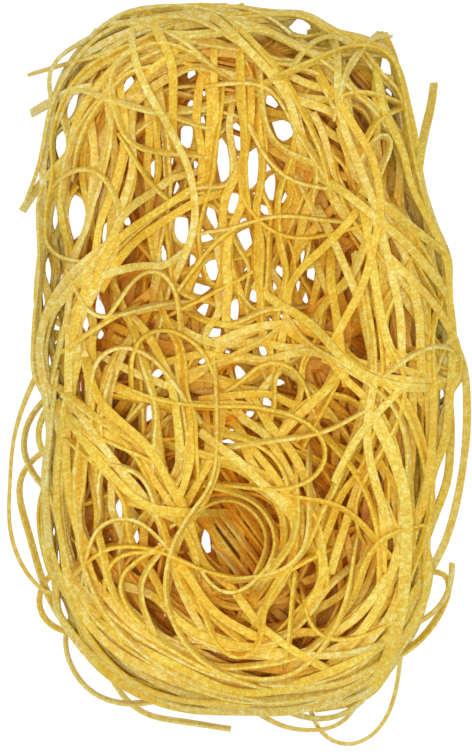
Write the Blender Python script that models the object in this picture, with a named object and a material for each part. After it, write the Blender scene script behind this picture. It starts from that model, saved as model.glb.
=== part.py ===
"""A nest of dry egg pasta: thin flat noodles, folded while soft into an oval cake and dried.

The nest lies flat. +Z is up, +Y runs along the nest towards its airy end, and -Y towards the end
where the noodles coil round a deep eye. The origin is at the middle of the underside.
One solid holds all of it: a core in the form of the packed noodles, with the noodles that show
from outside fused onto it at their true width and thickness.
"""

import math
import random

import bmesh
import bpy
import numpy as np
from mathutils import Matrix, Vector
from mathutils.bvhtree import BVHTree

MM = 0.001

# Driving dimensions of the whole nest, in metres
LENGTH = 134 * MM
WIDTH = 83.5 * MM
HEIGHT = 30 * MM

# One noodle
NOODLE_WIDTH = 1.6 * MM
NOODLE_THICKNESS = 0.8 * MM
NOODLE_SINK = 0.3 * MM
NOODLE_STEP = 6 * MM
NOODLE_RISE = 1.1 * MM
NOODLE_RISE_EVERY = 24 * MM
FLOOR_CLEARANCE = 0.2 * MM
SAG = 0.15 * MM
SAG_PASSES = 60
TURN_PASSES = 3
LINE_PARTS = 60

# The core: a low dome on a rounded oblong plan, smaller than the nest by its loose outer noodles
CORE_HALF_WIDTH = 0.425 * WIDTH
CORE_HALF_LENGTH = 0.464 * LENGTH
CORE_HEIGHT = 0.86 * HEIGHT
CORE_CENTRE = Vector((0.8 * MM, 2.6 * MM, 0))
CORE_BELLY = 0.24 * HEIGHT
PLAN_POWER = 3.7
DOME_POWER = 3.0
CORE_SEGMENTS = 32
CORE_RINGS = 14

# The airy middle: a long shallow dish, with gaps that go right through its thin floor
DISH_CENTRE = Vector((-0.8 * MM, 23 * MM, CORE_HEIGHT))
DISH_RADII = Vector((20 * MM, 36 * MM, 0.48 * CORE_HEIGHT))
GAP_HALF_LENGTHS = (8 * MM, 6 * MM, 9 * MM, 6 * MM, 5 * MM)
GAP_HALF_WIDTH = 2.4 * MM
GAP_SPACING = 6.2 * MM
GAP_STAGGER = 12 * MM
GAP_TURN = 0.2
CUTTER_SEGMENTS = 16
CUTTER_RINGS = 10
GAP_SEGMENTS = 10

# The coiled end: noodles wind round a hollow eye
EYE_CENTRE = Vector((-0.7 * MM, -28.5 * MM, CORE_HEIGHT))
EYE_RADII = Vector((7.5 * MM, 8 * MM, 0.55 * CORE_HEIGHT))

# Noodles that run round the rim: how far out they lie, as shares of the core's plan
RIM_NOODLES = 5
RIM_SHARES = (0.64, 0.92)
RIM_WAVES = (0.02, 0.05)
RIM_SHIFT = 1.5 * MM

# Noodles that run round the side wall: their heights, as shares of the nest's height
FLANK_NOODLES = 3
FLANK_LEVELS = (0.12, 0.54)
FLANK_SHARE = 1.06
FLANK_WAVE = 0.05

# Noodles coiled round the eye: their radii, the stretch along Y and how far round they go
COIL_NOODLES = 5
COIL_RADII = (9 * MM, 32 * MM)
COIL_STRETCH = 1.05
COIL_SWEEPS = (190, 250)

# Noodles that bridge the dish along the nest, and aslant across it
LONG_NOODLES = 4
LONG_SPREAD = 0.725
LONG_START = 0.9
LONG_RUN = 1.5
LONG_BOW = 3 * MM
LONG_TURN = 4 * MM
CROSS_NOODLES = 3
CROSS_TOP = 0.85
CROSS_SPACING = 0.34
CROSS_DROPS = (0.25, 0.6)
CROSS_REACH = 0.8
CROSS_BOWS = (3 * MM, 7 * MM)
BRIDGE_SHARE = 0.93

# Loose loops that stand out from the foot: the compass angles they leave and come back at, in
# degrees from +X, and how far they stand out
FOOT_LOOPS = (
    (216, 262, 0.085 * LENGTH),
    (286, 320, 0.115 * LENGTH),
    (158, 212, 0.065 * LENGTH),
    (325, 372, 0.06 * LENGTH),
)
FOOT_SHARE = 0.86
FOOT_LEVEL = 0.09 * HEIGHT

SEED = 7
COLOUR = (0.84, 0.56, 0.13, 1.0)


def clear_scene():
    for obj in list(bpy.data.objects):
        bpy.data.objects.remove(obj)


def new_collection(name):
    collection = bpy.data.collections.new(name)
    bpy.context.scene.collection.children.link(collection)
    return collection


def pasta_material():
    material = bpy.data.materials.new("egg_pasta")
    material.use_nodes = True
    shader = material.node_tree.nodes["Principled BSDF"]
    shader.inputs["Base Color"].default_value = COLOUR
    shader.inputs["Roughness"].default_value = 0.62
    shader.inputs["Metallic"].default_value = 0.0
    return material


def mesh_object(name, shape, collection):
    mesh = bpy.data.meshes.new(name)
    shape.to_mesh(mesh)
    shape.free()
    obj = bpy.data.objects.new(name, mesh)
    collection.objects.link(obj)
    return obj


def plan_point(angle, share=1.0):
    """A point of the core's rounded oblong plan, at an angle from +X; share 1 is its outline."""
    cosine, sine = math.cos(angle), math.sin(angle)
    reach = (abs(cosine) ** PLAN_POWER + abs(sine) ** PLAN_POWER) ** (-1 / PLAN_POWER)
    x = CORE_HALF_WIDTH * share * reach * cosine
    y = CORE_HALF_LENGTH * share * reach * sine
    return CORE_CENTRE + Vector((x, y, 0))


def within_plan(line, share):
    """The points of a line that lie over the core, inside this share of its plan."""
    kept = []
    for place in line:
        across = abs(place.x - CORE_CENTRE.x) / CORE_HALF_WIDTH
        along = abs(place.y - CORE_CENTRE.y) / CORE_HALF_LENGTH
        if across**PLAN_POWER + along**PLAN_POWER < share**PLAN_POWER:
            kept.append(place)
    return kept


def make_core(collection):
    """A sphere reshaped: the plan is the rounded oblong, the top a dome and the underside flat."""
    shape = bmesh.new()
    bmesh.ops.create_uvsphere(shape, u_segments=CORE_SEGMENTS, v_segments=CORE_RINGS, radius=1)
    for vertex in shape.verts:
        rise = max(-1.0, min(1.0, vertex.co.z))
        share = math.sqrt(max(0.0, 1 - rise * rise))
        place = plan_point(math.atan2(vertex.co.y, vertex.co.x), share)
        if rise >= 0:
            dome = (1 - share**DOME_POWER) ** (1 / DOME_POWER)
            place.z = CORE_BELLY + (CORE_HEIGHT - CORE_BELLY) * dome
        else:
            place.z = CORE_BELLY * max(0.0, 1 + 2 * rise)
        vertex.co = place
    return mesh_object("dry_pasta_nest", shape, collection)


def ellipsoid_cutter(name, centre, radii, collection):
    shape = bmesh.new()
    bmesh.ops.create_uvsphere(
        shape, u_segments=CUTTER_SEGMENTS, v_segments=CUTTER_RINGS, radius=1
    )
    bmesh.ops.transform(shape, verts=shape.verts, matrix=Matrix.Diagonal(radii).to_4x4())
    bmesh.ops.translate(shape, verts=shape.verts, vec=centre)
    return mesh_object(name, shape, collection)


def gap_cutter(name, centre, half_length, turn, collection):
    """An upright rod of long oval section, for a gap that goes right through the nest."""
    shape = bmesh.new()
    bmesh.ops.create_cone(
        shape, cap_ends=True, segments=GAP_SEGMENTS, radius1=1, radius2=1, depth=3 * CORE_HEIGHT
    )
    size = Matrix.Diagonal((GAP_HALF_WIDTH, half_length, 1, 1))
    spin = Matrix.Rotation(turn, 4, "Z")
    bmesh.ops.transform(shape, verts=shape.verts, matrix=spin @ size)
    bmesh.ops.translate(shape, verts=shape.verts, vec=centre)
    return mesh_object(name, shape, collection)


def cut(obj, cutters):
    """Cuts each cutter from the object and applies the cut."""
    for cutter in cutters:
        cutter.hide_render = True
        cutter.display_type = "WIRE"
        modifier = obj.modifiers.new("cut", "BOOLEAN")
        modifier.operation = "DIFFERENCE"
        modifier.object = cutter
    apply_modifiers(obj)
    for cutter in cutters:
        bpy.data.objects.remove(cutter)


def apply_modifiers(obj):
    bpy.context.view_layer.update()
    evaluated = obj.evaluated_get(bpy.context.evaluated_depsgraph_get())
    shaped = bpy.data.meshes.new_from_object(evaluated)
    obj.modifiers.clear()
    obj.data = shaped


def hollow_core(core, cutters, chance):
    """Cuts the dish, the eye and the see-through gaps of the airy middle."""
    found = [
        ellipsoid_cutter("dish", DISH_CENTRE, DISH_RADII, cutters),
        ellipsoid_cutter("eye", EYE_CENTRE, EYE_RADII, cutters),
    ]
    for column, half_length in enumerate(GAP_HALF_LENGTHS):
        across = (column - (len(GAP_HALF_LENGTHS) - 1) / 2) * GAP_SPACING
        along = chance.uniform(-GAP_STAGGER, GAP_STAGGER)
        centre = Vector((DISH_CENTRE.x + across, DISH_CENTRE.y + along, 0))
        turn = chance.uniform(-GAP_TURN, GAP_TURN)
        found.append(gap_cutter(f"gap_{column}", centre, half_length, turn, cutters))
    cut(core, found)


def triangulate(obj):
    """Splits all faces into triangles, which join more cleanly than many-sided ones."""
    shape = bmesh.new()
    shape.from_mesh(obj.data)
    bmesh.ops.triangulate(shape, faces=shape.faces)
    shape.to_mesh(obj.data)
    shape.free()


def surface_of(obj):
    shape = bmesh.new()
    shape.from_mesh(obj.data)
    tree = BVHTree.FromBMesh(shape)
    shape.free()
    return tree


def evenly(points, step):
    """The same line with its points a step apart."""
    points = np.array([tuple(p) for p in points])
    run = np.concatenate([[0], np.cumsum(np.linalg.norm(np.diff(points, axis=0), axis=1))])
    count = max(4, int(round(run[-1] / step)) + 1)
    wanted = np.linspace(0, run[-1], count)
    return np.stack([np.interp(wanted, run, points[:, i]) for i in range(3)], axis=1)


def rest_height(tree, x, y):
    """The height of what lies under a point: the core, or else the floor."""
    hit = tree.ray_cast(Vector((x, y, 3 * HEIGHT)), Vector((0, 0, -1)))[0]
    return hit.z if hit else 0.0


def draped(points, tree):
    """Lays a line on the core from above. It sags between what holds it up, as soft pasta does."""
    line = evenly(points, NOODLE_STEP)
    under = np.array([rest_height(tree, x, y) for x, y, _ in line])
    height = under.copy()
    for _ in range(SAG_PASSES):
        mean = height.copy()
        mean[1:-1] = (height[:-2] + height[2:]) / 2
        height = np.maximum(under, mean - SAG)
    line[:, 2] = height
    return line


def wrapped(points, tree):
    """Moves each point of a line to the nearest place on the core's side."""
    line = evenly(points, NOODLE_STEP)
    return np.array([tuple(tree.find_nearest(Vector(p))[0]) for p in line])


def surface_normals(line, tree):
    """Which way the core faces along the line, evened out; straight up where it is clear of it."""
    normals = []
    for place in line:
        _, normal, _, gap = tree.find_nearest(Vector(place))
        normals.append(tuple(normal) if gap < NOODLE_WIDTH else (0, 0, 1))
    normals = np.array(normals)
    for _ in range(TURN_PASSES):
        normals[1:-1] = normals[:-2] + normals[1:-1] + normals[2:]
        normals /= np.linalg.norm(normals, axis=1)[:, None]
    return normals


def tilt_to(direction, normal):
    """How far the noodle's flat side turns about its run, from facing up to facing along normal."""
    direction = Vector(direction).normalized()
    up = Vector((0, 0, 1))
    level = (up - direction * direction.dot(up)).normalized()
    facing = Vector(normal)
    facing = (facing - direction * direction.dot(facing)).normalized()
    return math.atan2(direction.dot(level.cross(facing)), level.dot(facing))


def noodle_profile(cutters):
    """The noodle's cross-section: a flat rectangle."""
    curve = bpy.data.curves.new("noodle_profile", "CURVE")
    curve.dimensions = "2D"
    spline = curve.splines.new("POLY")
    spline.points.add(3)
    x, y = NOODLE_WIDTH / 2, NOODLE_THICKNESS / 2
    for point, corner in zip(spline.points, ((-x, -y), (x, -y), (x, y), (-x, y))):
        point.co = (*corner, 0, 1)
    spline.use_cyclic_u = True
    obj = bpy.data.objects.new("noodle_profile", curve)
    obj.hide_render = True
    cutters.objects.link(obj)
    return obj


def noodle(name, line, tree, profile, collection):
    """One noodle along the line, its flat side towards the core. It is a little sunk in the core
    where it touches it, and rises clear of it in between."""
    normals = surface_normals(line, tree)
    turns = 2 * math.pi * NOODLE_STEP / NOODLE_RISE_EVERY * np.arange(len(line))
    rise = NOODLE_THICKNESS / 2 - NOODLE_SINK + NOODLE_RISE * (1 - np.cos(turns)) / 2
    line = line + normals * rise[:, None]
    runs = np.gradient(line, axis=0)
    lowest = NOODLE_THICKNESS / 2 + FLOOR_CLEARANCE
    lean = np.abs(normals[:, 2])
    lowest = lean * lowest + (1 - lean) * (NOODLE_WIDTH / 2 + FLOOR_CLEARANCE)
    line[:, 2] = np.maximum(line[:, 2], lowest)
    curve = bpy.data.curves.new(name, "CURVE")
    curve.dimensions = "3D"
    curve.twist_mode = "Z_UP"
    curve.bevel_mode = "OBJECT"
    curve.bevel_object = profile
    curve.use_fill_caps = True
    spline = curve.splines.new("POLY")
    spline.points.add(len(line) - 1)
    for point, place, run, normal in zip(spline.points, line, runs, normals):
        point.co = (*place, 1)
        point.tilt = tilt_to(run, normal)
    guide = bpy.data.objects.new(name, curve)
    collection.objects.link(guide)
    solid_from_curve(guide, collection)


def solid_from_curve(guide, collection):
    """Makes the curve a closed mesh with its end caps joined on."""
    bpy.context.view_layer.update()
    evaluated = guide.evaluated_get(bpy.context.evaluated_depsgraph_get())
    mesh = bpy.data.meshes.new_from_object(evaluated)
    shape = bmesh.new()
    shape.from_mesh(mesh)
    bmesh.ops.remove_doubles(shape, verts=shape.verts, dist=0.01 * MM)
    bmesh.ops.recalc_face_normals(shape, faces=shape.faces)
    bmesh.ops.triangulate(shape, faces=shape.faces)
    shape.to_mesh(mesh)
    shape.free()
    name = guide.name
    bpy.data.objects.remove(guide)
    collection.objects.link(bpy.data.objects.new(name, mesh))


def shares():
    """Even steps from 0 to 1 along a line."""
    return [i / LINE_PARTS for i in range(LINE_PARTS + 1)]


def arc_angles(start, sweep):
    return [math.radians(start + sweep * t) for t in shares()]


def between(limits, index, count):
    """The index-th of count values spread evenly between the limits."""
    return limits[0] + (limits[1] - limits[0]) * index / (count - 1)


def rim_line(index, chance):
    """A loop that runs round the rim, a little off centre and wavy."""
    share = between(RIM_SHARES, index, RIM_NOODLES)
    phase = chance.uniform(0, 2 * math.pi)
    wave = chance.uniform(*RIM_WAVES)
    shift = Vector([chance.uniform(-RIM_SHIFT, RIM_SHIFT) for _ in range(2)] + [0])
    return [
        plan_point(a, share + wave * math.sin(2 * a + phase)) + shift
        for a in arc_angles(chance.uniform(0, 360), chance.uniform(230, 300))
    ]


def flank_line(index, chance):
    """A loop that runs round the side wall, at its own height."""
    level = HEIGHT * between(FLANK_LEVELS, index, FLANK_NOODLES)
    phase = chance.uniform(0, 2 * math.pi)
    line = []
    for a in arc_angles(chance.uniform(0, 360), chance.uniform(240, 300)):
        place = plan_point(a, FLANK_SHARE)
        place.z = level + FLANK_WAVE * HEIGHT * math.sin(a + phase)
        line.append(place)
    return line


def coil_line(index, chance):
    """A turn of the coil round the eye, open towards the airy middle."""
    radius = between(COIL_RADII, index, COIL_NOODLES)
    middle = EYE_CENTRE + Vector((chance.uniform(-1, 1) * MM, chance.uniform(-1, 1) * MM, 0))
    sweep = chance.uniform(*COIL_SWEEPS)
    return [
        middle + Vector((radius * math.cos(a), COIL_STRETCH * radius * math.sin(a), 0))
        for a in arc_angles(270 - sweep / 2, sweep)
    ]


def long_line(index, chance):
    """A noodle that runs the length of the nest and bridges the dish."""
    across = CORE_HALF_WIDTH * between((-LONG_SPREAD, LONG_SPREAD), index, LONG_NOODLES)
    bow = chance.uniform(-LONG_BOW, LONG_BOW)
    turn = chance.uniform(-LONG_TURN, LONG_TURN)
    line = []
    for t in shares():
        y = CORE_CENTRE.y + CORE_HALF_LENGTH * (LONG_START - LONG_RUN * t)
        x = across + bow * math.sin(math.pi * t) + turn * (t - 0.5)
        line.append(Vector((x, y, 0)))
    return within_plan(line, BRIDGE_SHARE)


def cross_line(index, chance):
    """A noodle that crosses the nest aslant, from the left of the airy end down to the right."""
    high = CORE_HALF_LENGTH * (CROSS_TOP - CROSS_SPACING * index)
    drop = CORE_HALF_LENGTH * chance.uniform(*CROSS_DROPS)
    bow = chance.uniform(*CROSS_BOWS)
    line = []
    for t in shares():
        x = CORE_HALF_WIDTH * CROSS_REACH * (2 * t - 1)
        y = high - drop * t + bow * math.sin(math.pi * t)
        line.append(Vector((x, y, 0)))
    return within_plan(line, BRIDGE_SHARE)


def foot_line(start, end, stand_out):
    """A loose loop at the foot: out of the nest, round, and back in."""
    line = []
    for t in shares():
        angle = math.radians(start + (end - start) * t)
        place = plan_point(angle, FOOT_SHARE)
        outward = (place - CORE_CENTRE).normalized()
        place += outward * stand_out * math.sin(math.pi * t) ** 0.8
        place.z = FOOT_LEVEL
        line.append(place)
    return line


def lay_noodles(core, profile, collection, chance):
    tree = surface_of(core)
    for index in range(RIM_NOODLES):
        noodle(f"rim_{index}", draped(rim_line(index, chance), tree), tree, profile, collection)
    for index in range(FLANK_NOODLES):
        line = wrapped(flank_line(index, chance), tree)
        noodle(f"flank_{index}", line, tree, profile, collection)
    for index in range(COIL_NOODLES):
        noodle(f"coil_{index}", draped(coil_line(index, chance), tree), tree, profile, collection)
    for index in range(LONG_NOODLES):
        noodle(f"long_{index}", draped(long_line(index, chance), tree), tree, profile, collection)
    for index in range(CROSS_NOODLES):
        noodle(f"cross_{index}", draped(cross_line(index, chance), tree), tree, profile, collection)
    for index, (start, end, stand_out) in enumerate(FOOT_LOOPS):
        line = evenly(foot_line(start, end, stand_out), NOODLE_STEP)
        noodle(f"foot_{index}", line, tree, profile, collection)


def fuse(core, collection):
    """Joins the noodles and the core into one solid."""
    modifier = core.modifiers.new("fuse", "BOOLEAN")
    modifier.operation = "UNION"
    modifier.operand_type = "COLLECTION"
    modifier.collection = collection
    modifier.solver = "MANIFOLD"
    apply_modifiers(core)
    for obj in list(collection.objects):
        bpy.data.objects.remove(obj)
    bpy.data.collections.remove(collection)


def keep_largest_body(obj):
    """Drops loose scraps, and the inner skins of hollows that the joining sealed."""
    shape = bmesh.new()
    shape.from_mesh(obj.data)
    waiting = set(shape.faces)
    bodies = []
    while waiting:
        body = {waiting.pop()}
        border = list(body)
        while border:
            sides = [side for side in border.pop().edges if len(side.link_faces) == 2]
            near = {face for side in sides for face in side.link_faces} & waiting
            waiting -= near
            body |= near
            border += near
        bodies.append(body)
    largest = max(bodies, key=len)
    spare = [face for body in bodies if body is not largest for face in body]
    bmesh.ops.delete(shape, geom=spare, context="FACES")
    shape.to_mesh(obj.data)
    shape.free()


def fit_to_size(obj):
    """Scales the nest to its driving dimensions and stands it on the origin."""
    corners = np.array([tuple(vertex.co) for vertex in obj.data.vertices])
    low, high = corners.min(0), corners.max(0)
    size = Matrix.Diagonal((*(np.array((WIDTH, LENGTH, HEIGHT)) / (high - low)), 1))
    foot = Vector(((low[0] + high[0]) / 2, (low[1] + high[1]) / 2, low[2]))
    obj.data.transform(size @ Matrix.Translation(-foot))


def main():
    clear_scene()
    nest = new_collection("dry_pasta_nest")
    cutters = new_collection("cutters")
    noodles = new_collection("noodles")
    chance = random.Random(SEED)
    core = make_core(nest)
    hollow_core(core, cutters, chance)
    triangulate(core)
    profile = noodle_profile(cutters)
    lay_noodles(core, profile, noodles, chance)
    fuse(core, noodles)
    triangulate(core)
    keep_largest_body(core)
    fit_to_size(core)
    core.data.materials.clear()
    core.data.materials.append(pasta_material())
    bpy.data.objects.remove(profile)


main()
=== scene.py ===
"""The looks of the dry pasta nest: every noodle is its own flat ribbon of mesh.

The noodles are laid one after another, from the floor up, as soft pasta falls: each one rests on
what was laid before it and sags where nothing holds it up. First come the loose loops at the foot,
the lowest noodles of a tangle and short ones that close what would show the floor. The rest of the
tangle follows, then bundles that run side by side, then the noodles that show one by one in the
photo. Plan positions are in pixels of the photo, read off it.
"""

import math
import random

import bpy
import numpy as np
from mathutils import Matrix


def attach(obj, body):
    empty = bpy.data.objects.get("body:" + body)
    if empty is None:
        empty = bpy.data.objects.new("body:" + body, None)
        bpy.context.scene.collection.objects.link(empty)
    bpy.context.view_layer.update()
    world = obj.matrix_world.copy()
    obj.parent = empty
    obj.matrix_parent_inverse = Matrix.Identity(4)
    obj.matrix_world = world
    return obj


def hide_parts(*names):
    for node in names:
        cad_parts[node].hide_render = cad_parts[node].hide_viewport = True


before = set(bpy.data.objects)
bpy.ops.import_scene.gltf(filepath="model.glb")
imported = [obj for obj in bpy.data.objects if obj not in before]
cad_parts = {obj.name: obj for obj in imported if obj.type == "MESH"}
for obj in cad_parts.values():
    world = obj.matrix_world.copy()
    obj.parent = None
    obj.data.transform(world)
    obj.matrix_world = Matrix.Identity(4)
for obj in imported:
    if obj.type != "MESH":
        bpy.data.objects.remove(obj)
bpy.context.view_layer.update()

SEED = 11
PIECES = (
    "noodles_loose", "noodles_base", "noodles_fill", "noodles_deep", "noodles_rim", "noodles_coil",
    "noodles_top",
)
MM = 0.001

# Photo pixels to millimetres on the nest
PIXEL = 0.18
MIDDLE = np.array((238.0, 375.0))

# The camera looks straight down from far off
IMAGE_SIZE = (472, 752)
LENS = 150.0
SENSOR = 36.0
FOCUS_HEIGHT = 15.0
CAMERA_GAP = IMAGE_SIZE[1] * PIXEL * LENS / SENSOR
CAMERA_SPOT = np.array(
    ((IMAGE_SIZE[0] / 2 - MIDDLE[0]) * PIXEL, (MIDDLE[1] - IMAGE_SIZE[1] / 2) * PIXEL)
)

# One noodle, in millimetres: its size, the step between its points, the radius of the arc in which it
# sags, the radii of the bends at which it must stand on edge and up to which it may lie flat, the
# finer step that marks it on the map, and its least gap to the floor
WIDTH = 1.5
THICKNESS = 0.6
BEVEL = 0.12
STEP = 1.25
SAG_RADIUS = 17.0
EDGEWISE_BEND = 11.0
FLAT_BEND = 30.0
FINE_STEP = 0.4
FLOOR_GAP = 0.05
# Points between two given ones, the range of widths as shares, how much wider a wide one is, the
# sharpest bend in 1/mm where an end is drawn out, and the corners of its cross-section
SPLINE_POINTS = 12
WIDTH_SPREAD = (0.9, 1.1)
WIDE_SHARE = 1.45
END_BEND = 0.035
CORNERS = 8
SHARP_ANGLE = 32

# How far the hidden ends of the loose noodles and of those that show are drawn out, and how much a
# loose one's height varies
LOOSE_MORE = 7
LOOSE_MARGIN = 3.0
LOOSE_WAVE = 0.3
SINGLE_MORE = (5, 8)

# The random waves along a noodle: the shares of the three that are added, what brings their sum to
# about 1 and the range of a wave's length; then the roll's wave lengths and its limits in degrees,
# and how much and how fast the width varies
WAVE_SHARES = (0.55, 0.3, 0.15)
WAVE_GAIN = 1.4
WAVE_LENGTHS = (24.0, 70.0)
ROLL_WAVES = (45.0, 110.0)
ROLL_RANGE = (-25, 90)
SWELL = 0.05
SWELL_WAVES = (9.0, 30.0)

# How each kind of lie is turned about its run, in degrees, how far that sways, half of what shows
# of its width, and how it is turned in a tight bend
LIES = {
    "flat": (8, 11, 0.7, 62),
    "wide": (4, 6, 1.0, 4),
    "half": (56, 14, 0.6, 66),
    "edge": (71, 10, 0.5, 78),
}

# How a bundle keeps clear of the dark pockets: the lines tried for each noodle, how far one may
# reach into a pocket, the shortest part that is kept, the shares of its line where one may start
# and end, and how far it is drawn out. Noodles this near the edge belong to the rim.
BUNDLE_TRIES = 6
POCKET_BITE = 0.25
SHORTEST_PART = 9.0
BUNDLE_START = (0, 0.2)
BUNDLE_END = (0.8, 1.0)
BUNDLE_MORE = (3, 9)
RIM_BAND = 7

# The tangle: the noodles that roam, how many of them lie on the floor and their length; the rings
# round the rim, their share of the way to the edge and their sweep in degrees; and the turns round
# the eye, their radii and their sweep
ROAMING = 26
ON_FLOOR = 16
ROAMING_LENGTH = (130, 230)
RIM_RINGS = 44
RING_SHARE = 0.99
RING_SPAN = 0.33
RING_SWEEP = (220, 330)
COIL_TURNS = 14
COIL_RADIUS = 10
COIL_SPAN = 21
COIL_SWEEP = (200, 420)

# How a roaming noodle bends: it takes a new bend every few steps, and turns back when what lies
# ahead of it is near the edge
START_SPREAD = (26, 52)
BEND_STEPS = 14
BEND_SPREAD = 0.055
BEND_EASE = 0.2
LOOK_AHEAD = 9
EDGE_ROOM = 6
TURN_BACK = 0.13
TURN_EASE = 0.45

# How rough the rings and the turns are, how much a turn grows, how much longer than wide it is and
# how far its middle lies from the eye's
RING_ROUGH = 1.6
TURN_ROUGH = 0.9
TURN_GROWTH = 0.25
TURN_LENGTH = 1.08
TURN_SHIFT = 1.5

# How far inside the body's edge a noodle of the tangle and one of a bundle stay, and how far from
# the eye, from the large dark pockets and, for a bundle, from all of them
TANGLE_MARGIN = 0.7
BUNDLE_MARGIN = 0.55
EYE_MARGIN = 0.5
LARGE_MARGIN = 0.2
POCKET_MARGIN = 0.35

# Short noodles that close the places where the floor would show: how long, the area in cells that
# may stay open, and the most of them
FILL_LENGTH = 42.0
FILL_ENOUGH = 40
FILL_MOST = 400

# How a fill noodle is chosen: the pieces that they go to in turn, the headings and bends tried, what
# a cell of a gap or of the floor outside costs, and how much it gains by running as most do. That is
# round the eye within this far of it in millimetres, and along the nest elsewhere.
FILL_PIECES = ("noodles_base", "noodles_fill", "noodles_deep")
FILL_HEADINGS = 12
FILL_BENDS = (-0.035, 0.0, 0.035)
FILL_POINTS = 32
GAP_COST = 1.5
OUTSIDE_COST = 2.5
FLOW_GAIN = 90
EYE_FLOW = 38.0
# The share of a noodle's width that is counted on to hide the floor, the margins round a gap and
# inside the edge where it may show, and the share of the fill noodles that lie flat
COVER = 0.9
GAP_MARGIN = 0.05
EDGE_MARGIN = 0.3
FLAT_FILL = 0.6

# The rows of a piece's texture: the room for a noodle's girth, the slack in a row's length, the
# shares of a row's height and length that are used, and the size of an end face in them
ROW_ROOM = 1.25
ROW_SLACK = 1.02
ROW_FILL = 0.84
ROW_USED = 0.985
CAP_ALONG = 0.4
CAP_ACROSS = 0.3

# The heap's height map: the size of a cell and half that of the map in millimetres, the parts in
# which it is worked through, the cells across a noodle, and the step of its coarse copy in cells
CELL = 0.25
MAP_HALF = np.array((52.0, 76.0))
MAP_PARTS = 80
CELLS_ACROSS = 7
COARSE = 4

# Height of the finished nest, in millimetres, from its edge inwards, how much the heap may be
# stretched to reach it, how far its own height is spread and evened out first, and the height above
# which it is pressed together
SHOULDER = 12.0
SHOULDER_POWER = 0.8
EDGE_HEIGHT = 11.0
RIM_HEIGHT = 29.5
STRETCH = (0.4, 2.4)
SPREAD_REACH = 2.0
EVEN_REACH = 1.5
LEAST_HEIGHT = 2.0
FREE_HEIGHT = 24.5
TOP_ROOM = 6.0
# The bowls of the airy middle and of the eye: the middle in pixels, the half sizes and the depth in
# millimetres; and the oval, as for the gaps, that the tangle is led round
AIRY_MIDDLE = (233.6, 247.0)
AIRY_RADII = (20.0, 36.0)
AIRY_DROP = 13.0
EYE_MIDDLE = (234.0, 533.0)
EYE_RADII = (7.5, 8.0)
EYE_DROP = 17.0
EYE_HOLE = (237, 536, 25, 22)

# The painted shade that darkens and browns the noodles deep in the nest, in millimetres from the
# outside: the depth at which the painted shade is full and the most of it, the outer flank and the
# underside that have none, the eye, which has more, partly painted shade and partly its browner
# dough, and how far the nest's upper surface is evened out for it
FULL_DEPTH = 9.0
MOST_SHADE = 0.8
OPEN_FLANK = 3.5
FLANK_RISE = 1.2
UNDERSIDE = 1.5
EYE_SHADE = 1.25
EYE_FLOOR = 7.5
SURFACE_REACH = 2.6
# How far in a noodle's lower side is in full shade
SHADE_REACH = 4.0
# The outer noodles are paler, most so at the upper left, where the extra paleness is painted light,
# and darker and duller at the very edge with painted shade, most so at the upper right
PALE_BAND = 22.0
PALE_SHARE = 0.5
PALE_OUTER = 0.5
PALE_LIT_CORNER = 0.1
PALE_LIT_LEFT = 0.05
EDGE_SHADE_BAND = 9.0
EDGE_SHADE_CORNER = 1.6

# The edge of the nest's body without its loose noodles, clockwise
OUTLINE = (
    (184, 4), (245, 3), (264, 9), (290, 14), (325, 25), (345, 34), (362, 38), (372, 33), (383, 30),
    (390, 38), (400, 56), (408, 88), (415, 125), (421, 165), (429, 200), (437, 225), (447, 243),
    (454, 262), (451, 290), (452, 312), (456, 345), (456, 380), (452, 420), (448, 455), (442, 490),
    (437, 520), (435, 550), (434, 576), (429, 600), (423, 622), (410, 646), (396, 664), (387, 682),
    (374, 699), (352, 707), (325, 711), (290, 715), (240, 716), (200, 715), (170, 711), (148, 704),
    (130, 695), (108, 681), (84, 661), (68, 640), (59, 612), (50, 582), (43, 545), (41, 500),
    (42, 460), (45, 425), (43, 400), (40, 370), (36, 335), (38, 300), (41, 260), (40, 225), (41, 190),
    (43, 150), (47, 110), (56, 75), (76, 46), (90, 32), (104, 19), (122, 8), (148, 4),
)

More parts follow.
